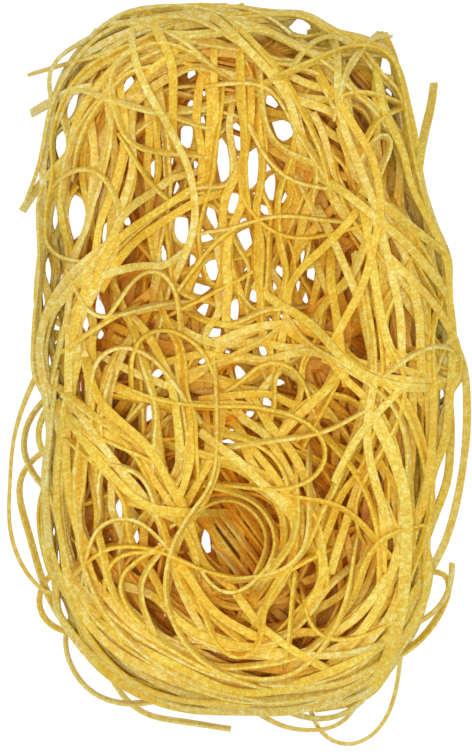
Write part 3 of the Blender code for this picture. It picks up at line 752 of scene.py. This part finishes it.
def lengthened(line, extra, chance, margin=1.2):
    """The line with its hidden ends drawn out inside the body, curving gently; extra says how far
    at its start and end."""
    for end in (0, 1):
        if not extra[end]:
            continue
        ordered = line if end else line[::-1]
        heading = ordered[-1] - ordered[-3]
        angle = math.atan2(heading[1], heading[0])
        bend = chance.uniform(-END_BEND, END_BEND)
        more = [ordered[-1]]
        for _ in range(int(extra[end] / STEP)):
            angle += bend * STEP
            more.append(more[-1] + STEP * np.array((math.cos(angle), math.sin(angle))))
        more = np.array(more[1:])
        ease = np.clip(np.arange(1, len(more) + 1) / 4, 0, 1)[:, None]
        more += (kept_in(more, margin) - more) * ease
        ordered = evenly(softened(np.vstack([ordered, more]), 2))
        line = ordered if end else ordered[::-1]
    return line


def sinking(count, ends, depth, over):
    """How far the hidden ends dip into the heap."""
    place = np.arange(count) * STEP
    dip = np.zeros(count)
    for end, far in zip(ends, (place, place[-1] - place)):
        if end == "h":
            dip += depth * (1 - np.clip(far / over, 0, 1)) ** 2
    return dip


class Noodle:
    """One noodle: its middle line, roll, width and which piece it goes to."""

    def __init__(self, piece, line, roll, wide, tone, dip):
        self.piece = piece
        self.line = line
        self.roll = roll
        self.wide = wide
        self.tone = tone
        self.dip = dip
        self.level = None
        self.height = np.zeros(len(line))

    def reach(self):
        """Half of its width in plan."""
        return (np.abs(np.cos(self.roll)) * self.wide + np.abs(np.sin(self.roll)) * THICKNESS) / 2

    def half_height(self):
        """Half of its upright size."""
        return (np.abs(np.sin(self.roll)) * self.wide + np.abs(np.cos(self.roll)) * THICKNESS) / 2

    def settle(self, heap):
        """Lays the noodle on the heap, or keeps it at a level of its own above the floor."""
        if self.level is None:
            lift = heap.under(self.line, self.reach()) + self.half_height()
            self.height = softened(hung(lift), 3) - self.dip
        else:
            self.height = self.level
        self.height = softened(np.maximum(self.height, self.half_height() + FLOOR_GAP), 3)
        heap.lay(self.line, self.reach(), self.height + self.half_height())


def make_noodle(piece, line, way, chance, ends="hh", depth=4.0, over=9.0, clear=1.12):
    """A noodle on a plan line, led round the gaps, whose hidden ends dip by depth over a run."""
    line = clear_of(SEE_THROUGH, line, LIES[way][2] * clear)
    line = evenly(softened(line, 2))
    wide = WIDTH * chance.uniform(*WIDTH_SPREAD) * (WIDE_SHARE if way == "wide" else 1.0)
    dip = sinking(len(line), ends, depth, over)
    return Noodle(piece, line, roll_of(line, way, chance), wide, chance.random(), dip)


def any_way(chance, flat=0.5, half=0.4):
    """How a noodle lies, drawn at random with these shares; the rest lie on edge."""
    draw = chance.random()
    return "flat" if draw < flat else "half" if draw < flat + half else "edge"


def ring_line(share, start, sweep, chance):
    """A line round the body at a share of the way from its middle to its edge."""
    count = int(abs(sweep) * share * 1.05)
    angles = np.radians(start + sweep * np.linspace(0, 1, max(count, 40)))
    edge = evenly(np.vstack([BODY, BODY[:1]]), 1.0)
    bearing = np.arctan2(edge[:, 1] - BODY_MIDDLE[1], edge[:, 0] - BODY_MIDDLE[0])
    order = np.argsort(bearing)
    x = np.interp(angles, bearing[order], edge[order, 0], period=2 * math.pi)
    y = np.interp(angles, bearing[order], edge[order, 1], period=2 * math.pi)
    line = BODY_MIDDLE + (np.stack([x, y], axis=1) - BODY_MIDDLE) * share
    line = evenly(softened(line, 6))
    return line + across_of(line) * (RING_ROUGH * wander(len(line), chance))[:, None]


def eye_line(radius, start, sweep, chance):
    """A turn of the coil round the eye."""
    count = max(30, int(radius * math.radians(abs(sweep)) / STEP))
    angles = np.radians(start + sweep * np.linspace(0, 1, count))
    grow = radius * (1 + TURN_GROWTH * np.linspace(-0.5, 0.5, count))
    shift = [chance.uniform(-TURN_SHIFT, TURN_SHIFT) for _ in range(2)]
    turn = np.stack([grow * np.cos(angles), TURN_LENGTH * grow * np.sin(angles)], axis=1)
    line = evenly(spots(EYE_MIDDLE) + np.array(shift) + turn)
    return line + across_of(line) * (TURN_ROUGH * wander(len(line), chance))[:, None]


def roaming_line(length, chance):
    """A noodle that roams over the body, turning back at its edge."""
    place = BODY_MIDDLE + np.array([chance.uniform(-far, far) for far in START_SPREAD])
    angle = chance.uniform(0, 2 * math.pi)
    bend, wanted = 0.0, 0.0
    line = [place]
    for i in range(int(length / STEP)):
        if i % BEND_STEPS == 0:
            wanted = chance.gauss(0, BEND_SPREAD)
        bend += (wanted - bend) * BEND_EASE
        ahead = place + LOOK_AHEAD * np.array((math.cos(angle), math.sin(angle)))
        gap = nearest_on_body(ahead[None])[1][0]
        if gap < EDGE_ROOM or not inside_body(ahead[None])[0]:
            home = BODY_MIDDLE - place
            turn = math.cos(angle) * home[1] - math.sin(angle) * home[0]
            bend += (math.copysign(TURN_BACK, turn) - bend) * TURN_EASE
        angle += bend * STEP
        place = place + STEP * np.array((math.cos(angle), math.sin(angle)))
        line.append(place)
    return softened(np.array(line), 3)


def plan_loose(chance):
    """The loose noodles round the foot."""
    made = []
    for lie, level, *numbers in LOOSE:
        way, ends = lie.split()
        line = flowing(numbers)
        line = lengthened(line, [LOOSE_MORE if end == "h" else 0 for end in ends], chance, LOOSE_MARGIN)
        noodle = make_noodle("noodles_loose", line, way, chance, ends, clear=0.2)
        noodle.level = level * (1 + LOOSE_WAVE * wander(len(noodle.line), chance))
        made.append(noodle)
    return made


def plan_tangle(chance):
    """The noodles that fill the nest below what shows: first those on the floor, then the rest."""
    floor, rest = [], []
    for i in range(ROAMING):
        plan = ("noodles_base", roaming_line(chance.uniform(*ROAMING_LENGTH), chance))
        (floor if i < ON_FLOOR else rest).append(plan)
    for i in range(RIM_RINGS):
        share = RING_SHARE - RING_SPAN * ((i * 7) % RIM_RINGS / (RIM_RINGS - 1)) ** 1.5
        sweep = chance.uniform(*RING_SWEEP) * chance.choice((-1, 1))
        rest.append(("noodles_rim", ring_line(share, chance.uniform(0, 360), sweep, chance)))
    for i in range(COIL_TURNS):
        radius = COIL_RADIUS + COIL_SPAN * ((i * 5) % COIL_TURNS) / (COIL_TURNS - 1)
        sweep = chance.uniform(*COIL_SWEEP) * chance.choice((-1, 1))
        rest.append(("noodles_coil", eye_line(radius, chance.uniform(0, 360), sweep, chance)))
    chance.shuffle(rest)
    made = []
    for i, (piece, line) in enumerate(floor + rest):
        line = softened(kept_in(line, TANGLE_MARGIN), 3)
        if i >= len(floor):
            line = softened(clear_of(LARGE_POCKETS, line, LARGE_MARGIN, 3), 3)
            line = softened(clear_of(EYE, line, EYE_MARGIN, 4), 2)
        made.append(make_noodle(piece, line, any_way(chance), chance))
    return made[: len(floor)], made[len(floor) :]


def plan_fan(chance):
    """The noodles at the bottom of the eye."""
    count, spread, rough, *numbers = EYE_FAN
    guide = flowing(numbers)
    across = across_of(guide)
    made = []
    for k in range(count):
        offset = (k / (count - 1) * 2 - 1) * spread + rough * wander(len(guide), chance)
        line = guide + across * (offset * PIXEL)[:, None]
        made.append(make_noodle("noodles_deep", line, "half", chance, depth=0.5, clear=1.0))
    return made


def parted(line):
    """The stretches of a line that are clear of the dark pockets and long enough to keep."""
    crossing = DARK.holding(line, -POCKET_BITE).any(1)
    steps = np.flatnonzero(np.diff(np.concatenate([[True], crossing, [True]]).astype(int)))
    return [
        line[first:last]
        for first, last in zip(steps[::2], steps[1::2])
        if (last - first) * STEP > SHORTEST_PART
    ]


def bundle_line(guide, k, count, spread, rough, chance):
    """The line of noodle k of a bundle: of those tried, the one that crosses the fewest pockets."""
    across = across_of(guide)
    best, least = None, len(guide) + 1
    for _ in range(BUNDLE_TRIES):
        offset = ((k + chance.random()) / count * 2 - 1) * spread * PIXEL
        wave = rough * PIXEL * wander(len(guide), chance)
        line = guide + across * (offset + wave)[:, None]
        crossed = DARK.holding(line, LARGE_MARGIN).any(1).sum()
        if crossed < least:
            best, least = line, crossed
    return best


def plan_bundles(chance):
    """The noodles that run side by side."""
    lines = []
    for count, spread, rough, *numbers in BUNDLES:
        guide = flowing(numbers)
        for k in range(count):
            line = bundle_line(guide, k, count, spread, rough, chance)
            first = int(chance.uniform(*BUNDLE_START) * len(line))
            last = int(chance.uniform(*BUNDLE_END) * len(line))
            lines.append(line[first:last])
    chance.shuffle(lines)
    made = []
    for line in lines:
        more = (chance.uniform(*BUNDLE_MORE), chance.uniform(*BUNDLE_MORE))
        line = lengthened(line, more, chance)
        line = softened(kept_in(line, BUNDLE_MARGIN), 3)
        line = softened(clear_of(DARK, line, POCKET_MARGIN, 3), 3)
        for part in parted(line):
            at_rim = nearest_on_body(part)[1].mean() < RIM_BAND
            piece = "noodles_rim" if at_rim else "noodles_coil"
            made.append(make_noodle(piece, evenly(part), any_way(chance), chance))
    return made


def plan_singles(chance):
    """The noodles that show one by one."""
    made = []
    for lie, *numbers in SINGLES:
        way, ends = lie.split()
        line = flowing(numbers)
        extra = [chance.uniform(*SINGLE_MORE) if end == "h" else 0 for end in ends]
        line = lengthened(line, extra, chance)
        noodle = make_noodle("noodles_top", line, way, chance, ends, depth=5.0, over=8.0, clear=0.8)
        made.append(noodle)
    return made


def cells_under(sheet, line, half):
    """The cells of the plan under a noodle."""
    fine = evenly(line, FINE_STEP)
    return sheet.cells(fine, across_of(fine), np.full(len(fine), half))


def edge_distance(places):
    """How far each point is from the body's edge, for many points."""
    parts = np.array_split(places, MAP_PARTS)
    return np.concatenate([nearest_on_body(part)[1] for part in parts])


def in_gaps(places):
    """Which points lie in a gap, for many points."""
    parts = np.array_split(places, MAP_PARTS)
    return np.concatenate([SEE_THROUGH.holding(part, GAP_MARGIN).any(1) for part in parts])


def fill_line(place, sheet, bare, gaps, outside, chance):
    """The line through a bare place that hides most of the floor and least of the gaps."""
    round_eye = place - spots(EYE_MIDDLE)
    near = np.linalg.norm(round_eye) < EYE_FLOW
    flow = np.array((-round_eye[1], round_eye[0]) if near else (0.0, 1.0))
    flow /= max(np.linalg.norm(flow), 1e-6)
    first = chance.uniform(0, math.pi)
    run = np.linspace(-0.5, 0.5, FILL_POINTS)[:, None] * FILL_LENGTH
    best, best_gain = None, -math.inf
    for k in range(FILL_HEADINGS):
        heading = first + math.pi * k / FILL_HEADINGS
        along = np.array((math.cos(heading), math.sin(heading)))
        aside = np.array((-along[1], along[0]))
        for bend in FILL_BENDS:
            line = place + along * run + aside * (bend * run**2 / 2)
            under = cells_under(sheet, line, THICKNESS)
            gain = bare[under].sum() - GAP_COST * gaps[under].sum()
            gain += FLOW_GAIN * (along @ flow) ** 2 - OUTSIDE_COST * outside[under].sum()
            if gain > best_gain:
                best, best_gain = line, gain
    return best


def plan_fill(noodles, chance):
    """Noodles low in the nest, under each place where the floor would show and shouldn't."""
    sheet = Heap()
    for noodle in noodles:
        sheet.lay(noodle.line, noodle.reach() * COVER, np.ones(len(noodle.line)))
    places = map_places(sheet).reshape(-1, 2)
    body = inside_body(places)
    well_inside = body & (edge_distance(places) > EDGE_MARGIN)
    gaps = in_gaps(places).reshape(sheet.top.shape)
    bare = well_inside.reshape(sheet.top.shape) & ~gaps & (sheet.top == 0)
    outside = ~body.reshape(sheet.top.shape)
    made = []
    while bare.sum() > FILL_ENOUGH and len(made) < FILL_MOST:
        cells = np.argwhere(bare)
        place = (cells[chance.randrange(len(cells))] + 0.5) * CELL - MAP_HALF
        line = fill_line(place, sheet, bare, gaps, outside, chance)
        line = softened(kept_in(line, TANGLE_MARGIN), 3)
        way = "flat" if chance.random() < FLAT_FILL else "half"
        piece = FILL_PIECES[len(made) % len(FILL_PIECES)]
        noodle = make_noodle(piece, evenly(line), way, chance, depth=0.5, clear=1.0)
        bare[cells_under(sheet, noodle.line, float(noodle.reach().mean()) * COVER)] = False
        bare[tuple(cells[0])] = False
        made.append(noodle)
    return made


def blurred(field, radius):
    """The field with each cell the mean of a square round it, three times over."""
    width = max(1, int(radius / CELL))
    for _ in range(3):
        for axis in (0, 1):
            padded = np.concatenate(
                [np.take(field, [0] * width, axis), field, np.take(field, [-1] * width, axis)], axis
            )
            total = np.cumsum(padded, axis=axis)
            total = np.concatenate([np.take(total, [0], axis) * 0, total], axis)
            size = field.shape[axis]
            low = np.take(total, range(size), axis)
            high = np.take(total, range(2 * width + 1, size + 2 * width + 1), axis)
            field = (high - low) / (2 * width + 1)
    return field


def map_places(heap):
    """The plan position of each cell."""
    x = (np.arange(heap.top.shape[0]) + 0.5) * CELL - MAP_HALF[0]
    y = (np.arange(heap.top.shape[1]) + 0.5) * CELL - MAP_HALF[1]
    return np.stack(np.meshgrid(x, y, indexing="ij"), axis=2)


def hollow(places, middle, radii):
    """How deep a bowl is from place to place: 1 in its middle, 0 outside it."""
    apart = (places - spots(middle)) / np.array(radii)
    return np.sqrt(np.maximum(1 - (apart**2).sum(-1), 0))


def spread_out(field, reach):
    """The field with each cell the highest of those round it."""
    for _ in range(int(reach / CELL)):
        for axis in (0, 1):
            for way in (-1, 1):
                field = np.maximum(field, np.roll(field, way, axis))
    return field


def wanted_height(places):
    """The height of the nest's top: low at the edge, high round the rim, lower in the middle."""
    flat = places.reshape(-1, 2)
    depth = np.where(inside_body(flat), edge_distance(flat), 0).reshape(places.shape[:2])
    rise = np.sin(np.clip(depth / SHOULDER, 0, 1) * math.pi / 2) ** SHOULDER_POWER
    height = EDGE_HEIGHT + (RIM_HEIGHT - EDGE_HEIGHT) * rise
    height -= AIRY_DROP * hollow(places, AIRY_MIDDLE, AIRY_RADII)
    height -= EYE_DROP * hollow(places, EYE_MIDDLE, EYE_RADII)
    return height


def value_at(field, line):
    """What a map says under each point of a line."""
    index = ((line + MAP_HALF) / CELL).astype(int)
    return field[
        np.clip(index[:, 0], 0, field.shape[0] - 1), np.clip(index[:, 1], 0, field.shape[1] - 1)
    ]


def shape_heap(noodles, heap):
    """Stretches the heap upwards, smoothly from place to place, to the height that it should have."""
    places = map_places(heap)[::COARSE, ::COARSE]
    have = blurred(spread_out(heap.top, SPREAD_REACH), EVEN_REACH)[::COARSE, ::COARSE]
    stretch = np.clip(wanted_height(places) / np.maximum(have, LEAST_HEIGHT), *STRETCH)
    fine = np.repeat(np.repeat(stretch, COARSE, axis=0), COARSE, axis=1)
    fine = blurred(fine[: heap.top.shape[0], : heap.top.shape[1]], EVEN_REACH)
    for noodle in noodles:
        height = noodle.height
        if noodle.level is None:
            height = height * value_at(fine, noodle.line)
        over = np.maximum(height - FREE_HEIGHT, 0)
        height = np.minimum(height, FREE_HEIGHT) + TOP_ROOM * (1 - np.exp(-over / TOP_ROOM))
        noodle.height = softened(np.maximum(height, noodle.half_height() + FLOOR_GAP), 2)


def find_tone_and_painted_light(noodles):
    """What the colours depend on: how pale each noodle is, its own tone with painted light towards the
    upper left; and for each of its points, from 0 to 1, the painted shade near the edge, the painted
    shade on its lower side and the painted shade deep in the nest."""
    surface = Heap()
    for noodle in noodles:
        surface.lay(noodle.line, noodle.reach(), noodle.height + noodle.half_height())
    top = blurred(surface.top, SURFACE_REACH)
    for noodle in noodles:
        above = value_at(top, noodle.line) - noodle.height
        below = noodle.height - UNDERSIDE
        aside = np.where(inside_body(noodle.line), nearest_on_body(noodle.line)[1], 0)
        outer = 1 - min(aside.mean() / PALE_BAND, 1)
        x, y = noodle.line.mean(0) / BODY.max(0)
        # Paler at the outside and towards the upper left; the paleness towards the upper left is painted
        # light
        pale = PALE_OUTER * outer + PALE_LIT_CORNER * (1 + y) * (1 - x) + PALE_LIT_LEFT * (1 - x)
        noodle.tone = (1 - PALE_SHARE) * noodle.tone + PALE_SHARE * pale
        # Painted shade at the very edge, in a band that widens towards the upper right
        band = EDGE_SHADE_BAND * (1 + EDGE_SHADE_CORNER * max(x, 0) * max(y, 0))
        noodle.edge = softened(np.clip(1 - aside / band, 0, 1), 4)
        # Painted shade on each noodle's lower side, fading out near the flank and the underside
        noodle.shade = softened(np.clip(np.minimum(aside - 1, below) / SHADE_REACH, 0, 1), 2)
        # Painted shade deep in the nest, and more in the eye, where it is partly the browner dough
        depth = np.minimum(np.minimum(above, (aside - OPEN_FLANK) * FLANK_RISE), below)
        depth = np.clip(depth / FULL_DEPTH, 0, MOST_SHADE)
        in_eye = hollow(noodle.line, EYE_MIDDLE, EYE_RADII) * (noodle.height < EYE_FLOOR)
        noodle.depth = softened(np.maximum(depth, np.minimum(EYE_SHADE * in_eye, 1)), 2)


def seen_from_camera(points):
    """Moves points level so that each shows at its plan place through the camera, whatever its
    height."""
    shrink = 1 - (points[:, 2:3] - FOCUS_HEIGHT) / CAMERA_GAP
    return np.column_stack([CAMERA_SPOT + (points[:, :2] - CAMERA_SPOT) * shrink, points[:, 2]])


def section(wide):
    """The noodle's cross-section: a flat rectangle with its corners taken off."""
    x, y, b = wide / 2, THICKNESS / 2, BEVEL
    half = np.array(((x, y - b), (x - b, y), (b - x, y), (-x, y - b)))
    return np.vstack([half, -half])


def noodle_rings(noodle, chance):
    """The noodle's vertices, a ring of eight at each step."""
    middle = seen_from_camera(np.column_stack([noodle.line, noodle.height]))
    along = np.gradient(middle, axis=0)
    along /= np.linalg.norm(along, axis=1)[:, None]
    level = np.cross((0, 0, 1.0), along)
    level /= np.maximum(np.linalg.norm(level, axis=1), 1e-6)[:, None]
    up = np.cross(along, level)
    cosine, sine = np.cos(noodle.roll)[:, None], np.sin(noodle.roll)[:, None]
    broad = level * cosine + up * sine
    thin = up * cosine - level * sine
    swell = 1 + SWELL * wander(len(middle), chance, SWELL_WAVES)
    corners = section(noodle.wide)
    return (
        middle[:, None]
        + broad[:, None] * (corners[None, :, :1] * swell[:, None, None])
        + thin[:, None] * corners[None, :, 1:]
    )


def strip_map(mesh, counts):
    """Lays each noodle out along rows of the piece's texture, so that the pattern can be stored.
    A noodle's two end faces come after its sides. Counts holds the rings of each noodle."""
    total = sum((count - 1) * STEP for count in counts)
    girth = 2 * (WIDTH + THICKNESS)
    rows = max(1, int(math.ceil(math.sqrt(total / (girth * ROW_ROOM)))))
    row_length = total / rows * ROW_SLACK + STEP
    around = np.linspace(0, 1, CORNERS + 1) * ROW_FILL + (1 - ROW_FILL) / 2
    values = []
    run = 0.0
    for count in counts:
        for i in range(count + 1):
            row = int(run // row_length)
            start = (run - row * row_length) / row_length * ROW_USED
            if i < count - 1:
                end = start + STEP / row_length * ROW_USED
                for k in range(CORNERS):
                    low, high = (row + around[k]) / (rows + 1), (row + around[k + 1]) / (rows + 1)
                    values += [start, low, end, low, end, high, start, high]
            else:
                for turn in 2 * math.pi * np.arange(CORNERS) / CORNERS:
                    values.append(start + CAP_ALONG * STEP / row_length * (1 + math.cos(turn)))
                    values.append((row + 0.5 + CAP_ACROSS * math.sin(turn)) / (rows + 1))
            run += STEP
    layer = mesh.uv_layers.new(name="OFBake")
    layer.uv.foreach_set("vector", np.array(values, np.float32))


def build_piece(name, noodles, material, chance):
    """One mesh object that holds all noodles of a kind."""
    looks = {"noodle_tone_and_light": [], "noodle_depth_shade": [], "noodle_edge_shade": [], "noodle_shade": []}
    corners, faces, counts = [], [], []
    start = 0
    for noodle in noodles:
        rings = noodle_rings(noodle, chance)
        count = len(rings)
        corners.append(rings.reshape(-1, 3) * MM)
        ring = np.arange(count - 1)[:, None] * CORNERS + start
        k = np.arange(CORNERS)[None]
        after = (k + 1) % CORNERS
        quads = np.stack([ring + k, ring + CORNERS + k, ring + CORNERS + after, ring + after], axis=2)
        faces += quads.reshape(-1, 4).tolist()
        faces.append([start + i for i in range(CORNERS)])
        faces.append([start + (count - 1) * CORNERS + i for i in reversed(range(CORNERS))])
        # Painted shade on the lower corners of each noodle
        low = (rings[:, :, 2].mean(1)[:, None] - rings[:, :, 2]) / (WIDTH / 2)
        # The tone with its painted light, and the painted shade deep in the nest, at the edge and below
        looks["noodle_tone_and_light"].append(np.full(count * CORNERS, noodle.tone))
        looks["noodle_depth_shade"].append(np.repeat(noodle.depth, CORNERS))
        looks["noodle_edge_shade"].append(np.repeat(noodle.edge, CORNERS))
        looks["noodle_shade"].append((np.clip(low, 0, 1) * noodle.shade[:, None]).ravel())
        counts.append(count)
        start += count * CORNERS
    mesh = bpy.data.meshes.new(name)
    mesh.from_pydata(np.vstack(corners).tolist(), [], faces)
    for label, values in looks.items():
        layer = mesh.attributes.new(label, "FLOAT", "POINT")
        layer.data.foreach_set("value", np.concatenate(values).astype(np.float32))
    strip_map(mesh, counts)
    mesh.shade_smooth()
    mesh.set_sharp_from_angle(angle=math.radians(SHARP_ANGLE))
    mesh.materials.append(material)
    obj = bpy.data.objects.new(name, mesh)
    bpy.context.scene.collection.objects.link(obj)
    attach(obj, "root")
    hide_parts("dry_pasta_nest")


# Colours of the dough, from the brownest noodle to the palest, and what multiplies them: painted
# shade by how deep in the nest a place lies, by how low on its noodle and by how near the edge, and
# the noises
DOUGH = (
    (0.0, (0.96, 0.68, 0.06)),
    (0.35, (0.96, 0.79, 0.14)),
    (0.65, (0.96, 0.87, 0.33)),
    (1.0, (0.97, 0.92, 0.54)),
)
DEEP_SHADE = (
    (0.08, (1.0, 1.0, 1.0)),
    (0.34, (1.0, 0.76, 0.42)),
    (0.80, (0.90, 0.52, 0.23)),
    (1.0, (0.54, 0.29, 0.13)),
)
SHADED = ((0.0, (1.0, 1.0, 1.0)), (1.0, (0.98, 0.75, 0.40)))
OUTER_SHADE = ((0.0, (1.0, 1.0, 1.0)), (1.0, (0.79, 0.81, 0.84)))
PATCHES = ((0.32, (0.97, 0.88, 0.62)), (0.64, (1.0, 1.0, 1.0)))
FLECKS = ((0.43, (0.93, 0.78, 0.34)), (0.52, (0.96, 0.88, 0.54)), (0.60, (1.0, 1.0, 1.0)))
GRAINS = ((0.40, (0.88, 0.78, 0.50)), (0.58, (1.0, 1.0, 1.0)))

# The dough's noises: scale, detail and roughness; then the bump's strength and its height in metres
PATCH_NOISE = (130, 3, 0.5)
FLECK_NOISE = (900, 2, 0.6)
GRAIN_NOISE = (2200, 1, 0.5)
BUMP_NOISE = (1700, 3, 0.6)
BUMP_STRENGTH = 0.7
BUMP_HEIGHT = 0.00012


def pasta_material():
    """Dry egg dough: yellow, with fine pale flecks of semolina, a little different from noodle to
    noodle and along each one; with painted shade deep in the nest, on each noodle's lower side and at
    the edge, and painted light towards the upper left."""
    material = bpy.data.materials.new("egg_pasta")
    material.use_nodes = True
    nodes, links = material.node_tree.nodes, material.node_tree.links
    shader = nodes["Principled BSDF"]
    place = nodes.new("ShaderNodeTexCoord")

    def noise(scale, detail, rough):
        node = nodes.new("ShaderNodeTexNoise")
        node.inputs["Scale"].default_value = scale
        node.inputs["Detail"].default_value = detail
        node.inputs["Roughness"].default_value = rough
        links.new(place.outputs["Object"], node.inputs["Vector"])
        return node.outputs["Fac"]

    def ramp(source, stops):
        node = nodes.new("ShaderNodeValToRGB")
        while len(node.color_ramp.elements) < len(stops):
            node.color_ramp.elements.new(0.5)
        for element, (position, colour) in zip(node.color_ramp.elements, stops):
            element.position = position
            element.color = (*colour, 1)
        links.new(source, node.inputs["Fac"])
        return node.outputs["Color"]

    def multiplied(first, second):
        node = nodes.new("ShaderNodeMix")
        node.data_type = "RGBA"
        node.blend_type = "MULTIPLY"
        node.inputs["Factor"].default_value = 1.0
        links.new(first, node.inputs["A"])
        links.new(second, node.inputs["B"])
        return node.outputs["Result"]

    def stored(label):
        node = nodes.new("ShaderNodeAttribute")
        node.attribute_name = label
        return node.outputs["Fac"]

    # Each noodle's own tone, paler at the outside, with painted light towards the upper left
    colour = ramp(stored("noodle_tone_and_light"), DOUGH)
    # The dough times the noises and the painted shade deep in the nest, at the edge and on the lower side
    for source, stops in (
        (noise(*PATCH_NOISE), PATCHES),
        (stored("noodle_depth_shade"), DEEP_SHADE),
        (stored("noodle_edge_shade"), OUTER_SHADE),
        (stored("noodle_shade"), SHADED),
        (noise(*FLECK_NOISE), FLECKS),
        (noise(*GRAIN_NOISE), GRAINS),
    ):
        colour = multiplied(colour, ramp(source, stops))
    links.new(colour, shader.inputs["Base Color"])
    shader.inputs["Roughness"].default_value = 0.6
    shader.inputs["Specular IOR Level"].default_value = 0.35
    bump = nodes.new("ShaderNodeBump")
    bump.inputs["Strength"].default_value = BUMP_STRENGTH
    bump.inputs["Distance"].default_value = BUMP_HEIGHT
    links.new(noise(*BUMP_NOISE), bump.inputs["Height"])
    links.new(bump.outputs["Normal"], shader.inputs["Normal"])
    return material


def floor_material():
    """A plain pale floor that glows a little, so that its white holds between the noodles."""
    material = bpy.data.materials.new("floor")
    material.use_nodes = True
    shader = material.node_tree.nodes["Principled BSDF"]
    shader.inputs["Base Color"].default_value = (0.2, 0.2, 0.2, 1)
    shader.inputs["Roughness"].default_value = 0.9
    shader.inputs["Specular IOR Level"].default_value = 0.1
    shader.inputs["Emission Color"].default_value = (1, 1, 1, 1)
    shader.inputs["Emission Strength"].default_value = 0.95
    return material


def make_floor():
    """The floor that the nest lies on."""
    mesh = bpy.data.meshes.new("floor")
    far = 3.0
    mesh.from_pydata([(-far, -far, 0), (far, -far, 0), (far, far, 0), (-far, far, 0)], [], [(0, 1, 2, 3)])
    mesh.materials.append(floor_material())
    floor = bpy.data.objects.new("floor", mesh)
    bpy.context.scene.collection.objects.link(floor)


def area_light(name, place, size, power):
    """A square lamp that is aimed at the nest."""
    light = bpy.data.lights.new(name, "AREA")
    light.energy = power
    light.size = size
    obj = bpy.data.objects.new(name, light)
    bpy.context.scene.collection.objects.link(obj)
    obj.location = place
    obj.rotation_euler = (-obj.location).to_track_quat("-Z", "Y").to_euler()


# A lamp beside the camera and two soft ones at a slant: place and size in metres, power in watts
LAMPS = (
    ("front", (-0.03, -0.05, 1.0), 0.24, 4.2),
    ("upper", (-0.45, 0.35, 0.85), 0.40, 0.7),
    ("lower", (0.42, -0.45, 0.85), 0.40, 0.9),
)


def make_light():
    """The lamps and a pale sky."""
    for lamp in LAMPS:
        area_light(*lamp)
    world = bpy.context.scene.world or bpy.data.worlds.new("world")
    bpy.context.scene.world = world
    world.use_nodes = True
    sky = world.node_tree.nodes["Background"]
    sky.inputs["Color"].default_value = (1, 1, 1, 1)
    sky.inputs["Strength"].default_value = 0.5


def make_camera():
    """The camera, which looks straight down as the photo's did."""
    lens = bpy.data.cameras.new("camera")
    lens.type = "PERSP"
    lens.lens = LENS
    lens.sensor_width = SENSOR
    camera = bpy.data.objects.new("camera", lens)
    bpy.context.scene.collection.objects.link(camera)
    camera.location = (CAMERA_SPOT[0] * MM, CAMERA_SPOT[1] * MM, (FOCUS_HEIGHT + CAMERA_GAP) * MM)
    bpy.context.scene.camera = camera


def main():
    """Lays the noodles, builds their meshes and sets the studio up."""
    chance = random.Random(SEED)
    loose, singles, bundles = plan_loose(chance), plan_singles(chance), plan_bundles(chance)
    floor, tangle = plan_tangle(chance)
    fan = plan_fan(chance)
    fill = plan_fill(loose + singles + bundles + floor + tangle + fan, chance)
    noodles = loose + floor + fill + fan + tangle + bundles + singles
    heap = Heap()
    for noodle in noodles:
        noodle.settle(heap)
    shape_heap(noodles, heap)
    find_tone_and_painted_light(noodles)
    material = pasta_material()
    for name in PIECES:
        build_piece(name, [n for n in noodles if n.piece == name], material, chance)
    make_floor()
    make_light()
    make_camera()
    bpy.context.scene.view_settings.view_transform = "Standard"
    bpy.context.scene.view_settings.gamma = 1.1
    bpy.context.scene.cycles.diffuse_bounces = 8


main()
